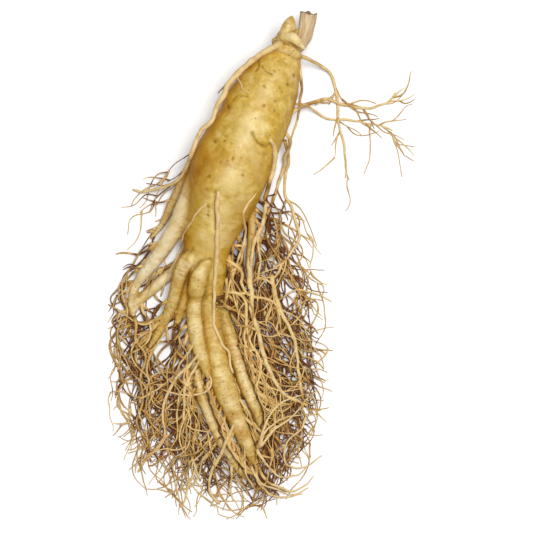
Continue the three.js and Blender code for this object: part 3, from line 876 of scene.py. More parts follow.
# %% [markdown]
# A strand's heading is its course plus a slow wave, a quick wave, a slow drift, and now and then a jolt
# where it met a stone. The course turns a little at every step towards the tips, away from steep flesh
# and back from the rim of the spread. All strands of one generation are stepped together, as rows of one
# array, because Python would be slow on one at a time.

# %% Let strands wander over the table
JOLT_CHANCE, JOLT_TURN, JOLT_FADE = 0.03, 0.45, 0.94
DRIFT_TURN, DRIFT_FADE = 0.05, 0.98
HOMING = 0.05  # the share of the wanted turn that is made in one step
LOOK_AHEAD = 3.0
CLIMBER_SHARE = 0.25


def wander(starts, headings, lengths, aims, rims, rng, restless=1.0):
    """Grows strands side by side. Returns one run of points for each, cut where it should stop."""
    count = len(starts)
    steps = int(math.ceil(lengths.max() / STRIDE))
    track = np.empty((steps + 1, count, 2))
    track[0] = starts
    course, jolt, drift = headings.astype(float).copy(), np.zeros(count), np.zeros(count)
    slow, slow_wave, slow_start = (rng.uniform(*v, count) for v in ((0.25, 0.8), (20, 48), (0, 6.3)))
    quick, quick_wave, quick_start = (rng.uniform(*v, count) for v in ((0.0, 0.2), (7, 16), (0, 6.3)))
    free = np.zeros(count, bool)
    for k in range(steps):
        here, run = track[k], k * STRIDE
        jolted = rng.random(count) < JOLT_CHANCE
        jolt = JOLT_FADE * jolt + np.where(jolted, rng.normal(0, JOLT_TURN, count), 0) * restless
        drift = DRIFT_FADE * drift + restless * rng.normal(0, DRIFT_TURN, count)
        wave = slow * np.sin(2 * math.pi * run / slow_wave + slow_start)
        wave += quick * np.sin(2 * math.pi * run / quick_wave + quick_start)
        course += HOMING * turn_to(aims, course)
        heading = course + (restless * wave + jolt + drift) * min(1.0, run / 5)
        ahead = here + LOOK_AHEAD * np.stack([np.cos(heading), np.sin(heading)], axis=1)
        grade = downhill[pile_cells(ahead)]
        steep = np.hypot(*grade.T) * np.clip(slope_map[pile_cells(ahead)] / 5 - 0.4, 0, 1) * free
        course += np.clip(steep, 0, 1) * 0.5 * turn_to(np.arctan2(grade[:, 1], grade[:, 0]), heading)
        beyond = np.clip((spread_share(ahead) - rims) / 0.12, 0, 1)
        home = np.arctan2(*(SPREAD_MIDDLE - here).T[::-1])
        course += HOMING * beyond * turn_to(home, heading)
        track[k + 1] = here + STRIDE * np.stack([np.cos(heading), np.sin(heading)], axis=1)
        free |= flesh_top[pile_cells(track[k + 1])] < 1.0
    return [trim(track[:max(5, int(length / STRIDE)) + 1, i], rims[i] + 0.1, rng.random() < CLIMBER_SHARE)
            for i, length in enumerate(lengths)]


print("a strand meets a stone every, mm:", round(STRIDE / JOLT_CHANCE))

# %% Where rootlets leave a limb
def limb_starts(line, low, high, count, lean, rng):
    """Places on a limb between two shares of its length, with headings that leave its sides."""
    at = np.interp(rng.uniform(low, high, count), np.linspace(0, 1, len(line)), np.arange(len(line)))
    i = np.clip(at.astype(int), 0, len(line) - 2)
    rows = line[i] + (line[i + 1] - line[i]) * (at - i)[:, None]
    ahead = line[i + 1, :2] - line[i, :2]
    course = np.arctan2(ahead[:, 1], ahead[:, 0])
    hand = np.where(rng.random(count) < lean, 1.0, -1.0)
    out = course + hand * math.pi / 2
    spots = rows[:, :2] + np.stack([np.cos(out), np.sin(out)], axis=1) * 0.55 * rows[:, 3:]
    heading = course + hand * rng.uniform(0.3, 1.25, count)
    height = np.maximum(0.5, rows[:, 2] - rows[:, 3] * rng.uniform(0.1, 0.7, count))
    return spots, heading, height


example = limb_starts(LINES["body"], 0.4, 0.5, 1, 1.0, np.random.default_rng(0))
print("a start on the body, for example:", example[0].round(1), "at height", example[2].round(1))

# %% [markdown]
# ## Families of rootlets
# A rootlet forks into offshoots, and they fork into threads that are finer still. Each limb bears its own
# number of them: many on the tapering end of the body, few on the pale leg. A family is kept as a list,
# parents first, so that an offshoot can later start at the height where its parent came to rest.

# %% How many rootlets each limb bears
NURSERY = [  # limb, span of its length, how many, share that leave on the +X side, lengths, radius
    ("body", 0.28, 0.50, 26, 0.97, (50, 110), 0.8),
    ("body", 0.50, 0.75, 34, 0.66, (50, 110), 0.8),
    ("body", 0.75, 0.99, 40, 0.50, (35, 90), 0.74),
    ("knuckle_leg", 0.3, 0.99, 20, 0.2, (40, 90), 0.74),
    ("arched_leg", 0.4, 0.99, 18, 0.4, (35, 90), 0.68),
    ("left_leg", 0.45, 0.99, 28, 0.4, (35, 90), 0.7),
    ("lower_left_leg", 0.3, 0.99, 18, 0.4, (35, 90), 0.68),
    ("hidden_leg", 0.5, 0.99, 8, 0.2, (14, 40), 0.55),
    ("right_leg", 0.2, 0.99, 30, 0.85, (40, 90), 0.72),
    ("under_leg", 0.2, 0.99, 34, 0.3, (35, 90), 0.72),
    ("cross_leg", 0.3, 0.99, 16, 0.4, (20, 60), 0.6),
]
AIM = {  # the heading that each limb's rootlets turn to, in radians
    "body": -1.4, "knuckle_leg": -1.9, "arched_leg": -1.8, "left_leg": -1.75, "lower_left_leg": -1.6,
    "hidden_leg": -2.1, "right_leg": -1.2, "cross_leg": -1.5, "under_leg": -1.7}
OFFSHOOTS = [  # for each generation: how many to a millimetre, lengths, thickness and restlessness
    (0.055, (22, 70), 0.8, 0.9),
    (0.024, (10, 36), 0.8, 0.95)]
THINNEST = 0.33
print("rootlets on the limbs:", sum(row[3] for row in NURSERY))

# %% Grow a family from each start
def grow_families(starts, headings, heights, lengths, aims, thick, rims, rng):
    """Plans strands and two generations of offshoots. Returns one family of strands for each start."""
    runs = wander(starts, headings, lengths, aims, rims, rng, 0.85)
    families = [[{"run": run, "thick": t, "height": h, "parent": None}]
                for run, t, h in zip(runs, thick, heights)]
    parents = [(i, 0) for i in range(len(runs)) if len(runs[i]) > 3]
    for per_length, reach, scale, restless in OFFSHOOTS:
        seeds = []
        for family, member in parents:
            strand = families[family][member]
            bare = np.flatnonzero(flesh_top[pile_cells(strand["run"])] < 1.0)
            bare = bare[bare >= 2]
            for _ in range(rng.poisson(len(bare) * STRIDE * per_length)):
                at = int(rng.choice(bare))
                ahead = strand["run"][at] - strand["run"][at - 1]
                seeds.append((family, member, at, math.atan2(ahead[1], ahead[0])))
        at_points = np.array([families[f][m]["run"][at] for f, m, at, _ in seeds])
        courses = np.array([seed[3] for seed in seeds])
        count = len(seeds)
        side = rng.choice([-1, 1], count) * rng.uniform(0.3, 1.0, count)
        parent_lengths = np.array([len(families[f][m]["run"]) * STRIDE for f, m, _, _ in seeds])
        reaches = np.minimum(rng.uniform(*reach, count), 1.2 * parent_lengths)
        child_rims = np.array([rims[seed[0]] for seed in seeds]) + rng.uniform(0, 0.1, count)
        child_aims = courses + rng.normal(0, 0.5, count)
        runs = wander(at_points, courses + side, reaches, child_aims, child_rims, rng, restless)
        parents = []
        for (family, member, at, _), run in zip(seeds, runs):
            if len(run) > 3:
                parent = families[family][member]
                width = max(THINNEST, parent["thick"] * (1 - 0.6 * at / len(parent["run"])) * scale)
                families[family].append({"run": run, "thick": width * rng.uniform(0.8, 1.15),
                                         "parent": (member, at)})
                parents.append((family, len(families[family]) - 1))
    return families


print("generations after the first:", len(OFFSHOOTS))

# %% Plan the rootlets of all the limbs
rng = np.random.default_rng(77)
planned = {key: [] for key in ("starts", "headings", "heights", "lengths", "aims", "thick")}
for name, low, high, count, lean, (short, long), radius in NURSERY:
    spots, heading, height = limb_starts(LINES[name], low, high, count, lean, rng)
    planned["starts"].append(spots)
    planned["headings"].append(heading)
    planned["heights"].append(height)
    planned["lengths"].append(rng.uniform(short, long, count))
    planned["aims"].append(AIM[name] + rng.normal(0, 0.5, count))
    planned["thick"].append(radius * rng.uniform(0.65, 1.2, count))
planned = {key: np.concatenate(rows) for key, rows in planned.items()}
rims = rng.uniform(0.62, 1.0, len(planned["starts"]))
limb_families = grow_families(**planned, rims=rims, rng=rng)
print("rootlets planned:", sum(map(len, limb_families)), "in", len(limb_families), "families")

# %% [markdown]
# ## Dropping the rootlets
# A living root tapers, is flared where it leaves its parent, and has small knots. The families are now
# dropped in a random order, so that no limb's rootlets all lie on top. A few are kept back to be dropped
# after the side roots, because in a real tangle some threads cross over the thick roots too.

# %% The girth of a thin root
FLARE_LENGTH = 3.0


def run_places(count, rng):
    """Points along a strand at which noise is read, on a line of the strand's own."""
    return np.stack([np.arange(count) * STRIDE, np.full(count, rng.uniform(0, 99)), np.zeros(count)], axis=1)


def root_girth(count, thick, thin, rng, knots=0.16):
    """Radii down a thin root: a flared base, a long taper, and knots."""
    t = np.linspace(0, 1, count)
    flare = 0.3 * thick * np.exp(-t * count * STRIDE / FLARE_LENGTH)
    radius = thin + (thick - thin) * (1 - t) ** 0.8 + flare
    places = run_places(count, rng)
    return radius * (1 + knots * noise(places, 2.6) + 0.5 * knots * noise(places, 1.3, 8.0))


print("flare at a root's base, mm:", FLARE_LENGTH)

# %% Drop the families on the pile
ROOTLET_KNOTS = 0.13
FINEST_TIP = 0.17
DROPPED_FIRST = 0.97
everything = []


def drop_family(family, rng):
    """Settles a strand and its offshoots, parents first."""
    for strand in family:
        if len(strand["run"]) < 4:
            continue
        tip = max(FINEST_TIP, 0.45 * strand["thick"])
        radius = root_girth(len(strand["run"]), strand["thick"], tip, rng, ROOTLET_KNOTS)
        if strand["parent"]:
            member, at = strand["parent"]
            start = family[member]["laid"][min(at, len(family[member]["laid"]) - 1)]
        else:
            start = strand["height"]
        height = settle(strand["run"], radius, start, strand["parent"] is None)
        strand["laid"] = height
        everything.append((np.column_stack([strand["run"], height]), radius))


order = rng.permutation(len(limb_families))
later = int(DROPPED_FIRST * len(order))
for i in order[:later]:
    drop_family(limb_families[i], rng)
print("dropped first:", len(everything))

# %% [markdown]
# ## Side roots
# Some thirty thicker side roots give the root its outline: one runs over the shoulder from the collar, one
# runs straight down the front, and several leave the right flank. They are pale, knotted and never quite
# straight. Their routes are drawn, and the height map settles them on the rootlets dropped so far.

# %% The side roots' routes
SIDE_ROOTS = {  # route over the table, radius at each end, start height, and whether it leaves a flank
    "collar_root": ([(19.2, 86.4), (14.2, 83.1), (8, 79.8), (3.4, 76.4), (-0.7, 72.3), (-4, 68.1),
                     (-5.9, 63.2), (-8.8, 59), (-10.4, 55), (-12.6, 51), (-16, 47.6), (-18.6, 43.6),
                     (-20.8, 37.6), (-23, 31.4), (-27, 27), (-33, 23.6), (-41, 21.6), (-48, 22.4)],
                    1.45, 0.5, 23.6, False),
    "collar_twig": ([(-2.2, 71), (-5.4, 68.4), (-8.8, 65.4)], 0.6, 0.3, None, False),
    "collar_twig_2": ([(-0.6, 72), (1.4, 68.2), (2.2, 65.4), (5.2, 63.8)], 0.5, 0.26, None, False),
    "collar_root_2": ([(26, 82), (31.6, 81), (38.6, 78), (43.6, 70.6), (44.6, 63), (45.4, 54), (48.4, 41),
                       (49.2, 28)], 0.85, 0.35, 17, True),
    "collar_root_3": ([(26.4, 82.4), (27.8, 77), (28, 71), (28.8, 66.5), (27.7, 60.7), (26.6, 55.3),
                       (24.6, 48.2), (23, 43.6)], 0.68, 0.4, 17, True),
    "shoulder_root": ([(20, 54), (25, 56.6), (31.6, 61), (39.4, 63.6), (47.4, 61.2), (57.2, 59.8),
                       (66.4, 61.2), (71.6, 66.4)], 0.95, 0.4, 14, True),
    "shoulder_root_2": ([(20.6, 56), (24, 60.6), (33, 59.4), (41, 54.4), (50.6, 53.8), (63.4, 51.8),
                         (70, 49.6)], 0.65, 0.3, 12, True),
    "hip_root_2": ([(21, 44), (23, 36), (21.4, 28), (21.8, 19.6), (25.4, 10), (27.6, 0.4), (22.6, -7.3),
                    (18, -15.4), (14, -19)], 0.75, 0.5, 11, True),
    "hip_root_3": ([(15, -16.6), (15.6, -21), (16, -24.6), (17.3, -28.4), (20.3, -34.5), (23.3, -41.1),
                    (25.6, -46.8), (27, -54), (27.4, -62), (29.4, -72), (33, -80)], 1.05, 0.45, 3, True),
    "hip_twig": ([(4.8, -21), (8.4, -18), (12, -18.2), (15, -20.6)], 0.55, 0.5, 3, True),
    "hip_root": ([(20.4, 48), (23.4, 43.4), (21, 36.4), (20, 31.6), (18.9, 27), (16.8, 20.9), (13.4, 11.8),
                  (10.8, 5), (8.8, 0), (9.6, -6), (10, -12), (8, -20)], 0.85, 0.5, 13, True),
    "flank_root": ([(4.9, -8), (4.9, -13), (5.6, -23), (6.4, -34), (8.4, -40.6), (10.4, -48), (12.2, -55),
                    (15, -61), (18.6, -67.6), (24, -72.4), (31, -75.4)], 1.3, 0.65, 6.4, False),
    "waist_root": ([(14.2, 43.6), (16.2, 40), (16.2, 35), (15.2, 28), (12.8, 20.5), (11.8, 11.4),
                    (10.8, 5.8), (8.2, 1), (6.6, -4), (5.8, -12)], 1.1, 0.75, None, False),
    "fork_root": ([(8.2, 20.2), (3.7, 13.5), (2.5, 10.1), (3.2, 4.7), (2.8, -1.9), (0.8, -7.3),
                   (-0.8, -12.7), (-3, -18), (-5.4, -26)], 0.66, 0.4, None, False),
    "tail_thread": ([(8, -100), (11, -107), (17, -112.5), (24.4, -114.6), (31, -112), (34.4, -108)],
                    0.8, 0.2, 2, True),
    "tail_thread_2": ([(7.4, -101.5), (9.6, -109.6), (14.4, -116), (21.4, -117.4), (29, -115.6)],
                      0.75, 0.2, 2, True),
    "tail_thread_3": ([(3, -96), (6.5, -104), (11, -110.4), (17.5, -114), (26, -116), (31.6, -113)],
                      0.7, 0.2, 2, True),
    "tail_thread_4": ([(8, -95), (11, -100), (14.6, -104.6), (19.4, -108.3), (27.4, -107.3),
                       (32, -103.4)], 0.66, 0.2, 2, True),
    "tail_thread_5": ([(-2.7, -97), (-3.4, -105), (-3.6, -113), (-2.6, -119)], 0.7, 0.25, 2, True),
    "fan_root": ([(9.2, -95), (10.8, -88.4), (13, -82), (16.4, -77.1), (21.6, -73), (30.6, -70.4)],
                 0.62, 0.25, 2.6, True),
    "fan_root_2": ([(9.6, -94.4), (14, -88.5), (20, -83.4), (26, -79), (31.4, -72.4), (35.6, -68.6)],
                   0.6, 0.25, 2.6, True),
    "fan_root_3": ([(9.4, -94.8), (12.4, -87), (17.4, -82.6), (25.6, -79.8), (35.6, -79.6)],
                   0.55, 0.22, 2.6, True),
    "fan_root_4": ([(30.8, -80.4), (28, -86.6), (23, -91), (20.6, -97), (21.4, -102), (25.6, -104.4),
                    (31, -103.6), (38, -99)], 0.5, 0.25, 3, True),
    "tail_root": ([(-1.8, -83.2), (-6.4, -94.2), (-12, -105.5), (-13, -114), (-9, -120.6)], 0.85, 0.45,
                  None, False),
    "tail_root_2": ([(2.6, -90.6), (2.8, -101), (4, -108), (8.6, -115.6)], 0.6, 0.35, None, False),
    "knuckle_thread": ([(-17.6, -52), (-23.4, -58.2), (-28.9, -63.8), (-32.7, -71.3), (-34.4, -78.6),
                        (-33.7, -89.5), (-40.6, -98.8), (-45.8, -106)], 0.8, 0.4, None, False),
    "knuckle_thread_2": ([(-17.2, -54.4), (-21.4, -61.9), (-24.2, -69.4), (-24.7, -77.9), (-23.3, -87.6),
                          (-21.4, -97), (-17.7, -110.2)], 0.7, 0.4, None, False),
    "knuckle_curl": ([(-14.4, -60), (-12.5, -63), (-13, -67), (-17, -70), (-26.1, -70.4), (-34.6, -67.9)],
                     0.62, 0.35, None, False),
    "twin_thread": ([(-19, -46), (-24.3, -53.5), (-30.8, -63.8), (-38.4, -69.4), (-47, -73.6)],
                    0.6, 0.35, None, False),
    "left_thread": ([(-13.6, 15.4), (-18.5, 10.5), (-23, 3.9), (-25.5, -2.3), (-27.4, -7.2), (-31, -15),
                     (-35.4, -26)], 0.58, 0.35, None, False),
    "front_root": ([(-8.4, 20.6), (-8.9, 10.4), (-9.1, 0.4), (-9.6, -12), (-10.8, -27), (-11.2, -37),
                    (-7.6, -47), (-4.2, -51.5), (-3.6, -56.2), (-2.6, -60.6)], 1.14, 0.5, None, False),
}
print(len(SIDE_ROOTS), "side roots are drawn")

# %% [markdown]
# Hundreds of curve objects with a bevel would be slow to handle and would be turned into meshes at export
# anyway. So all strands of a group become one mesh of closed tubes. Every point keeps its place along and
# round its own strand, moved on by a fixed step from one strand to the next, so that no two strands wear
# the same patch of texture.

# %% Many closed tubes in one mesh
TEXTURE_STEP = 7.3


def tubes(name, strands, sides, values):
    """One mesh of many closed tubes. A strand is its points in millimetres and its radii."""
    points, walls, ends, first = [], [], [], 0
    facts = {key: [] for key in values[0]}
    space, base = [], []
    spin = np.linspace(0, 2 * math.pi, sides, endpoint=False)
    for (line, radius), fact in zip(strands, values):
        ahead = np.gradient(line, axis=0)
        ahead /= np.maximum(np.linalg.norm(ahead, axis=1, keepdims=True), 1e-9)
        across = np.cross(ahead, [0, 0, 1.0])
        across /= np.maximum(np.linalg.norm(across, axis=1, keepdims=True), 1e-6)
        rise = np.cross(across, ahead)
        ring = np.cos(spin)[None, :, None] * across[:, None] + np.sin(spin)[None, :, None] * rise[:, None]
        wall_points = (line[:, None] + ring * radius[:, None, None]).reshape(-1, 3)
        tip = line[-1] + ahead[-1] * radius[-1]
        points.append(np.vstack([wall_points, line[:1], tip[None]]))
        points[-1][:, 2] = np.maximum(points[-1][:, 2], LOWEST)
        wall, cap = tube_faces(len(line), sides, first)
        walls.append(wall)
        ends.append(cap)
        first += len(points[-1])
        t = np.append(np.repeat(np.linspace(0, 1, len(line)), sides), [0, 1])
        base.append(np.exp(-t * len(line) * STRIDE / FLARE_LENGTH) * (radius[0] > 0.85))
        for key, row in fact.items():
            facts[key].append(np.append(np.repeat(row, sides), [row[0], row[-1]]))
        run = np.repeat(np.arange(len(line)) * STRIDE, sides)
        thick = np.repeat(radius, sides)
        place = np.stack([np.tile(np.cos(spin), len(line)) * thick, np.tile(np.sin(spin), len(line)) * thick,
                          run], axis=1)
        moved_on = [0, 0, TEXTURE_STEP * len(points)]
        space.append(np.vstack([place, [[0, 0, 0], [0, 0, run[-1]]]]) + moved_on)
    faces = [*np.vstack(walls), *np.vstack(ends)]
    facts = {key: np.concatenate(rows) for key, rows in facts.items()} | {"base": np.concatenate(base)}
    return make_piece(name, np.vstack(points), faces, facts, {"limb_space": np.vstack(space)})


print("texture moves on by, mm:", TEXTURE_STEP)

# %% Settle the side roots
TAUT = ("collar_root", "tail_root")  # stiff enough to bridge the dips below them
ROOT_BASE = 7  # a side root that starts on top of the flesh thickens over this length
rng = np.random.default_rng(21)
side_lines = {}
for name, (route, thick, thin, height, leaves) in SIDE_ROOTS.items():
    line = smooth_line([(x, y, 0, 0) for x, y in route], STRIDE)[:, :2]
    run = run_places(len(line), rng)
    ahead = np.gradient(line, axis=0)
    left = np.stack([-ahead[:, 1], ahead[:, 0]], axis=1) / np.linalg.norm(ahead, axis=1, keepdims=True)
    ease = np.clip(np.arange(len(line)) / 6, 0, 1)
    line = line + left * (ease * (0.5 * noise(run, 6.0) + 0.25 * noise(run, 2.6, 5.0)))[:, None]
    radius = root_girth(len(line), thick, thin, rng)
    if height is None:
        radius *= np.interp(np.arange(len(line)) * STRIDE, [0, ROOT_BASE], [0.5, 1])
    z = settle(line, radius, height, leaves, STIFF if name in TAUT else LIMP)
    side_lines[name] = (np.column_stack([line, z]), radius)
side_length = sum(len(radius) for _, radius in side_lines.values()) * STRIDE
print("side roots:", len(side_lines), "metres:", round(side_length / 1000, 2))

# %% [markdown]
# Side roots carry twigs of their own. Those of the roots that stray to the right lie alone on the table,
# where every one is seen, so they are short. The others disappear in the tangle and can be longer.

# %% Twigs of the side roots, and the rest of the rootlets on top
TWIGS = {  # how many twigs each side root bears
    "collar_root": 10, "flank_root": 10, "waist_root": 5, "hip_root": 8, "hip_root_2": 9,
    "hip_root_3": 9, "shoulder_root": 5, "collar_root_2": 6, "shoulder_root_2": 4, "left_thread": 3,
    "tail_thread": 5, "tail_thread_2": 4, "tail_root": 3, "knuckle_thread": 4, "knuckle_thread_2": 4,
    "twin_thread": 3, "collar_root_3": 4}
STRAY = ("shoulder_root", "shoulder_root_2", "collar_root_2")
TWIG_RADIUS = 0.34
NO_RIM = 9.0  # stray twigs may lie outside the rootlets' spread
rng = np.random.default_rng(40)
planned = {key: [] for key in ("starts", "headings", "heights", "lengths", "aims", "thick", "rims")}
for name, count in TWIGS.items():
    line, radius = side_lines[name]
    i = rng.integers(int(0.35 * len(line)), len(line) - 1, count)
    ahead = line[i] - line[i - 1]
    course = np.arctan2(ahead[:, 1], ahead[:, 0])
    planned["starts"].append(line[i, :2])
    planned["headings"].append(course + rng.choice([-1, 1], count) * rng.uniform(0.3, 0.9, count))
    planned["heights"].append(line[i, 2])
    planned["lengths"].append(rng.uniform(8, 18 if name in STRAY else 36, count))
    planned["aims"].append(course + rng.normal(0, 0.4, count))
    planned["thick"].append(TWIG_RADIUS * rng.uniform(0.75, 1.25, count))
    planned["rims"].append(np.full(count, NO_RIM if name in STRAY else 1.0))
planned = {key: np.concatenate(rows) for key, rows in planned.items()}
twig_families = grow_families(**planned, rng=rng)
for family in [limb_families[i] for i in order[later:]] + twig_families:
    drop_family(family, rng)
strand_length = sum(len(line) for line, _ in everything) * STRIDE
print("strands:", len(everything), "metres:", round(strand_length / 1000, 1))

# %% [markdown]
# ## Painted shade on what is buried
# Strands on top of the tangle keep their own light tone, and those below get painted shade. A blurred copy
# of the pile's top tells how deep each point of a strand is buried, and that sets how much painted shade it
# takes.

# %% How deep each strand is buried
BURIED_AT = 1.7  # a strand's painted shade is darkest this far below the pile's top
blanket = np.where(pile > flesh_top + 0.3, pile, 0)
for _ in range(3):
    blanket = np.maximum.reduce([np.roll(blanket, step, (0, 1)) for step in AROUND])
blanket = soften(blanket, 8)
print("deepest tangle, mm:", blanket.max().round(1))


def tone_with_buried_shade(line, radius, own, buried_shade):
    """A strand's own tone, with painted shade where it lies under the others."""
    above = blanket[pile_cells(line[:, :2])] - line[:, 2] - radius - 0.2
    return np.clip(own - buried_shade * np.clip(above / BURIED_AT, 0, 1), 0, 1)


# %% Make the side roots' mesh
SIDE_ROOT_SIDES, SIDE_ROOT_BURIED_SHADE = 10, 0.3
rng = np.random.default_rng(8)
# side roots get painted shade where rootlets lie over them
side_values = [{"stain": np.full(len(line), 0.12),
                "tone": tone_with_buried_shade(line, radius, rng.uniform(0.85, 1), SIDE_ROOT_BURIED_SHADE)}
               for line, radius in side_lines.values()]
side_roots = tubes("side_roots", list(side_lines.values()), SIDE_ROOT_SIDES, side_values)

# %% Make three meshes of rootlets
ROOTLET_SIDES, ROOTLET_BURIED_SHADE = 5, 0.85
TAIL_BELOW, LEFT_OF = -62, -9  # where a strand's start puts it in the tail or the left group
# each strand's own tone, with painted shade where it is buried
values = [{"tone": tone_with_buried_shade(line, radius, own, ROOTLET_BURIED_SHADE)}
          for (line, radius), own in zip(everything, rng.normal(0.72, 0.16, len(everything)))]
groups = {"rootlets_left": [], "rootlets_right": [], "rootlets_tail": []}
for i, (line, radius) in enumerate(everything):
    x, y = line[0, :2]
    key = "rootlets_tail" if y < TAIL_BELOW else "rootlets_left" if x < LEFT_OF else "rootlets_right"
    groups[key].append(i)
rootlets = [tubes(key, [everything[i] for i in members], ROOTLET_SIDES, [values[i] for i in members])
            for key, members in groups.items()]

# %% [markdown]
# ## Finishes
# The skin is a satin, slightly waxy surface that lets a little light in. Its colour is built from the values
# stored on the mesh, painted shade and painted highlights among them, then broken up by textures that follow
# each limb:
# pale and gold mottling, thin bands across the limb, dark corky flecks, and painted shade in the creases.
# Painting an image would tie it to one view.

# %% A short way to write material nodes
def new_material(name):
    """A material with an empty node tree, its shader and a way to add nodes."""
    material = bpy.data.materials.new(name)
    material.use_nodes = True
    tree = material.node_tree
    shader = tree.nodes["Principled BSDF"]

    def node(kind, out=0, settings=None, **sockets):
        """Adds a node, fills or links its sockets, and gives one of its outputs."""
        made = tree.nodes.new("ShaderNode" + kind)
        for key, value in (settings or {}).items():
            setattr(made, key, value)
        for key, value in sockets.items():
            key = key.replace("_", " ")
            numbered = key[0] == "i" and key[1:].isdigit()
            place = made.inputs[int(key[1:]) if numbered else key]
            if isinstance(value, bpy.types.NodeSocket):
                tree.links.new(value, place)
            else:
                place.default_value = value
        return made.outputs[out]

    return material, tree, shader, node


print("sockets can be given by name, or by number as i0, i1 and so on")

# %% Reading, mixing and stretching values in a material
def value_of(node, name):
    """Reads a stored value from the mesh."""
    return node("Attribute", "Fac", {"attribute_name": name})


def blend(node, share, a, b, mode="MIX"):
    """Mixes two colours."""
    mix = {"data_type": "RGBA", "blend_type": mode}
    return node("Mix", 2, mix, i0=share, i6=a, i7=b)


def ramp(node, value, low, high, to_low=0.0, to_high=1.0):
    """Stretches a range of values to another, and clips it."""
    return node("MapRange", 0, {"interpolation_type": "SMOOTHSTEP"}, Value=value,
                From_Min=low, From_Max=high, To_Min=to_low, To_Max=to_high)


def maths(node, operation, a, b=0.0):
    """One sum on two values."""
    return node("Math", 0, {"operation": operation}, i0=a, i1=b)


def times(node, a, b):
    """The product of two values."""
    return maths(node, "MULTIPLY", a, b)


print("a blend of two colours is one node, and so is each sum")

# %% Textures in millimetres, round a limb or in space
def limb_place_node(node, squash, size):
    """Skin coordinates, scaled. squash over 1 draws a texture's features out round the limb."""
    place = node("Attribute", "Vector", {"attribute_name": "limb_space"})
    return node("Mapping", 0, None, Vector=place, Scale=(1 / size, 1 / size, squash / size))


def limb_noise(node, squash, size, detail=3.0):
    """Cloudy noise in skin coordinates, with features about size millimetres wide."""
    return node("TexNoise", 0, None, Vector=limb_place_node(node, squash, size), Scale=1.0, Detail=detail)


def object_place(node, size):
    """A point's own place in the piece, in units of size millimetres."""
    return node("Mapping", 0, None, Vector=node("TexCoord", "Object"), Scale=(1 / (size * MM),) * 3)


def cells_of(node, size, out):
    """A cell texture: the distance to a cell's middle, or the cell's own colour."""
    return node("TexVoronoi", out, None, Vector=object_place(node, size), Scale=1.0)


def cloud(node, size, detail=3.0, roughness=0.5):
    """Cloudy noise with features about size millimetres wide, the same in every direction."""
    place = object_place(node, size)
    return node("TexNoise", 0, None, Vector=place, Scale=1.0, Detail=detail, Roughness=roughness)


print("a texture of one millimetre has a scale of", round(1 / MM), "in Blender's metres")

# %% The colours
def colour(red, green, blue):
    """An opaque colour, in linear light."""
    return (red, green, blue, 1.0)


GOLDEN = colour(0.64, 0.385, 0.03)
HONEY = colour(0.74, 0.52, 0.11)
CREAM = colour(0.88, 0.7, 0.3)
PALE = colour(0.68, 0.49, 0.17)
BONE = colour(0.94, 0.82, 0.55)
STRAW = colour(0.84, 0.62, 0.18)
AMBER = colour(0.53, 0.245, 0.009)
OLIVE = colour(0.45, 0.255, 0.012)
RUST = colour(0.34, 0.12, 0.006)
BARK = colour(0.19, 0.095, 0.012)
DARK_TAN = colour(0.58, 0.37, 0.09)
LIGHT_TAN = colour(0.80, 0.575, 0.205)
print("finishes are linear red, green and blue, from 0 to 1")

# %% [markdown]
# Skin colour is laid on in layers. First the flesh shows through, gold on the body and pale on the legs,
# with soft mottles and painted highlights. Then come painted shade on the flanks, rusty stains that also
# carry painted shade in the corners and on the flanks, dark flecks where rootlets broke off, cork across the
# legs, and painted shade in the creases. Each layer is one mix, whose share is a stored value, a texture, or
# the product of both.

# %% The flesh that shows through, with painted highlights
def flesh_with_highlights(node, mottle, spots, fine, bands, with_crown):
    """Gold and pale flesh with mottles, bands, tan corky parts, and pale places that are partly painted
    highlights.
    """
    flesh = blend(node, ramp(node, mottle, 0.45, 0.64), GOLDEN, HONEY)
    flesh = blend(node, ramp(node, mottle, 0.57, 0.70), flesh, CREAM)
    leg = blend(node, ramp(node, mottle, 0.35, 0.65), PALE, BONE)
    skin = blend(node, value_of(node, "gold"), leg, flesh)
    skin = blend(node, ramp(node, bands, 0.54, 0.72, 0.0, 0.3), skin, CREAM)
    skin = blend(node, ramp(node, spots, 0.49, 0.40, 0.0, 0.55), skin, OLIVE)
    skin = blend(node, ramp(node, spots, 0.53, 0.62, 0.0, 0.5), skin, STRAW)
    if with_crown:
        tan_skin = blend(node, ramp(node, fine, 0.35, 0.65), DARK_TAN, LIGHT_TAN)
        skin = blend(node, value_of(node, "tan"), skin, tan_skin)
    # paler skin and painted highlights, where the stored value asks for them
    pale = blend(node, value_of(node, "gold"), BONE, CREAM)
    return blend(node, times(node, value_of(node, "cream"), 0.8), skin, pale)


print("clean skin goes from", GOLDEN[:3], "to", BONE[:3])

# %% Stains, flecks, cork and painted shade laid over it
FLECK_CELL = 2.1


def flecks_of(node):
    """Small dark dots in a few cells of a cell texture, more of them where the skin is coarse."""
    dots = cells_of(node, FLECK_CELL, "Distance")
    rare = node("SeparateColor", 0, None, Color=cells_of(node, FLECK_CELL, "Color"))
    rare = maths(node, "ADD", rare, times(node, value_of(node, "coarse"), 0.3))
    return times(node, ramp(node, dots, 0.26, 0.06), ramp(node, rare, 0.78, 0.90))


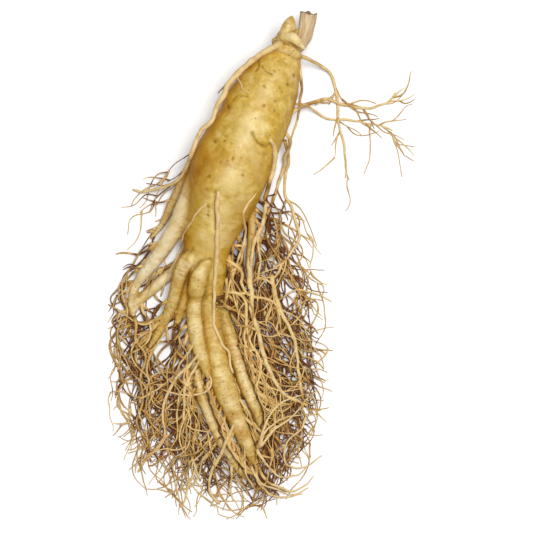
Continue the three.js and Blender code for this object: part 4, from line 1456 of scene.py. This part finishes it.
def stains_flecks_and_shade(node, skin, mottle, spots, fine, bands, fleck):
    """Painted shade on the flanks, stains with painted shade in the corners, flecks, cork and painted shade
    in the creases, one layer after another.
    """
    soil, stain, coarse = (value_of(node, name) for name in ("soil", "stain", "coarse"))
    # the duller colour of the painted shade on the flanks
    dull = blend(node, value_of(node, "gold"), PALE, GOLDEN)
    layers = [
        # painted shade on the flanks: a duller colour, then amber
        (times(node, ramp(node, soil, 0.0, 0.6), ramp(node, spots, 0.3, 0.65, 1.0, 0.6)), dull),
        (times(node, ramp(node, soil, 0.35, 1.0), ramp(node, mottle, 0.35, 0.65, 0.9, 0.45)), AMBER),
        # stains, with painted shade in the corners and on the flanks
        (times(node, stain, ramp(node, spots, 0.3, 0.6, 0.6, 1.0)), AMBER),
        (times(node, stain, ramp(node, mottle, 0.60, 0.42, 0.0, 0.5)), RUST),
        (times(node, fleck, 0.7), BARK),
        (ramp(node, fine, 0.58, 0.74, 0.0, 0.22), AMBER),
        (times(node, coarse, ramp(node, bands, 0.50, 0.34, 0.0, 0.55)), AMBER),
        (times(node, coarse, ramp(node, fine, 0.54, 0.66, 0.0, 0.5)), CREAM),
        # painted shade in creases, folds and pits
        (times(node, value_of(node, "hollow"), 0.55), BARK)]
    for cover, tone in layers:
        skin = blend(node, cover, skin, tone)
    return skin


print("flecks sit in cells of, mm:", FLECK_CELL)

# %% Root skin
def root_skin(name, with_crown=False):
    """The body's and the crown's skin."""
    material, tree, shader, node = new_material(name)
    mottle = cloud(node, 9.0, 4.0, 0.6)
    spots = cloud(node, 3.2, 3.0, 0.6)
    fine = cloud(node, 0.9, 4.0, 0.65)
    bands = limb_noise(node, 4.5, 5.0)
    fleck = flecks_of(node)
    skin = flesh_with_highlights(node, mottle, spots, fine, bands, with_crown)
    skin = stains_flecks_and_shade(node, skin, mottle, spots, fine, bands, fleck)
    tree.links.new(skin, shader.inputs["Base Color"])
    tree.links.new(ramp(node, fine, 0.3, 0.7, 0.36, 0.52), shader.inputs["Roughness"])
    # less gloss on the flanks that take painted shade
    facing_gloss = ramp(node, value_of(node, "soil"), 0.0, 0.6, 0.5, 0.1)
    gloss = maths(node, "SUBTRACT", facing_gloss, value_of(node, "hollow"))
    tree.links.new(maths(node, "MAXIMUM", gloss, 0.06), shader.inputs["Specular IOR Level"])
    height = maths(node, "ADD", times(node, fine, 0.5), times(node, bands, 0.6))
    height = maths(node, "SUBTRACT", height, times(node, fleck, 0.6))
    bump = node("Bump", 0, None, Height=height, Strength=0.35, Distance=0.0006)
    tree.links.new(bump, shader.inputs["Normal"])
    shader.inputs["Subsurface Weight"].default_value = 0.15
    shader.inputs["Subsurface Radius"].default_value = (1.0, 0.5, 0.15)
    shader.inputs["Subsurface Scale"].default_value = 0.002
    return material


skin = root_skin("root_skin")
crown_skin = root_skin("crown_skin", with_crown=True)
body.data.materials.append(skin)
crown.data.materials.append(crown_skin)
print("skin nodes:", len(skin.node_tree.nodes))

# %% [markdown]
# Rootlets and side roots are too thin to show the same marks. What shows is that no two are alike: some are
# cream, some tan, some brown, and buried ones get painted shade. One stored value per strand does that, with
# corky rings on the thicker ones.

# %% Side roots and rootlets
# the dark end of a strand's tone, reached mostly by painted shade on buried strands
SHADE_BROWN = colour(0.17, 0.055, 0.011)
DULL_TAN = colour(0.52, 0.3, 0.075)
TOP_CREAM = colour(0.88, 0.67, 0.33)
TOP_TAN = colour(0.86, 0.62, 0.25)
ROSY = colour(1.0, 0.86, 0.86)
SAND = colour(0.84, 0.68, 0.34)


def strand_finish(name, ringed):
    """The skin of thin roots."""
    material, tree, shader, node = new_material(name)
    patches = limb_noise(node, 1.0, 4.0, 2.0)
    rings = limb_noise(node, 3.0, 1.6, 2.0)
    tone = maths(node, "ADD", value_of(node, "tone"), ramp(node, patches, 0.3, 0.7, -0.2, 0.2))
    # low tone, mostly painted shade on buried strands, goes to the dark brown
    strand = blend(node, ramp(node, tone, 0.0, 0.5), SHADE_BROWN, DULL_TAN)
    strand = blend(node, ramp(node, tone, 0.45, 1.0), strand, TOP_CREAM if ringed else TOP_TAN)
    kinds = limb_noise(node, 0.12, 8.0, 1.0)  # one kind for most of a strand's length
    warmth = 0.25 if ringed else 0.8
    strand = blend(node, ramp(node, kinds, 0.48, 0.62, 0.0, warmth), strand, ROSY, "MULTIPLY")
    strand = blend(node, ramp(node, kinds, 0.44, 0.34, 0.0, 0.35), strand, SAND)
    strand = blend(node, times(node, value_of(node, "base"), 0.6), strand, HONEY)
    shader.inputs["Specular IOR Level"].default_value = 0.3
    if ringed:
        strand = blend(node, times(node, value_of(node, "stain"), patches), strand, AMBER)
        strand = blend(node, ramp(node, rings, 0.60, 0.74, 0.0, 0.4), strand, AMBER)
        bump = node("Bump", 0, None, Height=rings, Strength=0.5, Distance=0.0004)
        tree.links.new(bump, shader.inputs["Normal"])
    tree.links.new(strand, shader.inputs["Base Color"])
    tree.links.new(ramp(node, patches, 0.3, 0.7, 0.5, 0.66), shader.inputs["Roughness"])
    return material


side_roots.data.materials.append(strand_finish("side_root_skin", True))
rootlet_skin = strand_finish("rootlet_skin", False)
for piece in rootlets:
    piece.data.materials.append(rootlet_skin)
print("rootlet nodes:", len(rootlet_skin.node_tree.nodes))

# %% [markdown]
# The stem stub is dead: greyish tan, fibrous and dull, with darker streaks along it and a dark broken end.

# %% Dry stem
GREY_BARK = colour(0.55, 0.38, 0.20)
PALE_BARK = colour(0.78, 0.62, 0.38)
WARM_BARK = colour(0.62, 0.42, 0.27)
BROKEN_WOOD = colour(0.16, 0.085, 0.04)


def stem_finish():
    """The stub's streaky bark and its dark broken end."""
    material, tree, shader, node = new_material("dry_stem")
    streaks = limb_noise(node, 0.12, 0.7, 4.0)
    patches = limb_noise(node, 0.5, 5.0, 3.0)
    bark = blend(node, ramp(node, streaks, 0.35, 0.65), GREY_BARK, PALE_BARK)
    bark = blend(node, ramp(node, patches, 0.45, 0.7, 0.0, 0.6), bark, WARM_BARK)
    bark = blend(node, times(node, value_of(node, "cut"), 0.8), bark, BROKEN_WOOD)
    tree.links.new(bark, shader.inputs["Base Color"])
    tree.links.new(ramp(node, streaks, 0.3, 0.7, 0.65, 0.85), shader.inputs["Roughness"])
    bump = node("Bump", 0, None, Height=streaks, Strength=0.6, Distance=0.0005)
    tree.links.new(bump, shader.inputs["Normal"])
    return material


stem.data.materials.append(stem_finish())
print("stub nodes:", len(stem.data.materials[0].node_tree.nodes))

# %% [markdown]
# ## Which part each piece belongs to
# The imported model has two parts, the root and the stub. Each piece made here is attached to the body that
# it moves with, and the imported part that it takes the place of is hidden. The flesh, the crown and
# all the thin roots stand for the one root.

# %% Attach each piece to its body and hide the part it stands for
for piece in (body, crown, side_roots, *rootlets):
    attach(piece, "root")
    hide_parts("root")
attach(stem, "root")
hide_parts("stem_stub")
print("root pieces:", 3 + len(rootlets), "stub pieces: 1")

# %% [markdown]
# ## Floor, light and camera
# The root lies on a plain white surface. A pale sky and one large soft lamp light it at a level at which
# colours come out as they are written. The camera looks straight down, as one does at a root on a table.

# %% A white floor that keeps the shadow
FLOOR_HALF = 1.5
corners = [(-1, -1), (1, -1), (1, 1), (-1, 1)]
floor_mesh = bpy.data.meshes.new("floor")
floor_mesh.from_pydata([(FLOOR_HALF * x, FLOOR_HALF * y, 0) for x, y in corners], [], [(0, 1, 2, 3)])
floor = bpy.data.objects.new("floor", floor_mesh)
bpy.context.scene.collection.objects.link(floor)
print("floor, metres:", 2 * FLOOR_HALF)

# %% [markdown]
# Seen directly or in a reflection, the floor is white. What it throws back onto the root is the colour of
# a plain wooden board, as it would be on a table, so the undersides stay warm.

# %% The floor's finish
GLOSSY_RAY, TRANSMISSION_RAY = 3, 6  # outputs of the Light Path node
BOARD = colour(0.46, 0.38, 0.28)
PAPER = colour(0.93, 0.93, 0.925)
GLOW = 0.16  # lifts the paper to white
paper, tree, shader, node = new_material("white_floor")
seen = node("LightPath")
for kind in (GLOSSY_RAY, TRANSMISSION_RAY):
    seen = maths(node, "MAXIMUM", seen, node("LightPath", kind))
tree.links.new(blend(node, seen, BOARD, PAPER), shader.inputs["Base Color"])
shader.inputs["Emission Color"].default_value = colour(1, 1, 1)
tree.links.new(times(node, seen, GLOW), shader.inputs["Emission Strength"])
shader.inputs["Roughness"].default_value = 0.9
shader.inputs["Specular IOR Level"].default_value = 0.1
floor.data.materials.append(paper)
print("floor nodes:", len(tree.nodes))

# %% The sky
SKY_STRENGTH = 0.3
world = bpy.data.worlds.new("soft_sky")
bpy.context.scene.world = world
world.use_nodes = True
sky = world.node_tree.nodes["Background"]
sky.inputs["Color"].default_value = colour(1.0, 1.0, 1.0)
sky.inputs["Strength"].default_value = SKY_STRENGTH
print("sky strength:", SKY_STRENGTH)

# %% [markdown]
# One large lamp, above the root and a little to the right of the crown, gives soft shadows that still tell
# round flesh from flat. More lamps would only fill the creases that make the skin look alive.

# %% The lamp
def soft_lamp(name, place, target, size, power):
    """A square lamp that faces a point."""
    light = bpy.data.lights.new(name, "AREA")
    light.shape = "SQUARE"
    light.size = size
    light.energy = power
    lamp = bpy.data.objects.new(name, light)
    lamp.location = place
    lamp.rotation_euler = (Vector(target) - Vector(place)).to_track_quat("-Z", "Y").to_euler()
    bpy.context.scene.collection.objects.link(lamp)
    print(name, "watts:", power, "metres wide:", size)


soft_lamp("key_lamp", (0.18, 0.16, 1.15), (0, 0, 0), 0.5, 10.8)
bpy.context.scene.view_settings.view_transform = "Standard"

# %% [markdown]
# The camera hangs straight above the root. From 0.9 m away a long lens keeps the near side of the body
# from looking too big.

# %% A camera straight above
SENSOR = 36
CAMERA_HEIGHT = 0.9
VIEW_WIDTH = 0.246
camera_data = bpy.data.cameras.new("camera")
camera_data.sensor_width = SENSOR
camera_data.lens = SENSOR * CAMERA_HEIGHT / VIEW_WIDTH
camera = bpy.data.objects.new("camera", camera_data)
camera.location = (0.004, -0.004, CAMERA_HEIGHT)
bpy.context.scene.collection.objects.link(camera)
bpy.context.scene.camera = camera
print("lens, mm:", round(camera_data.lens))
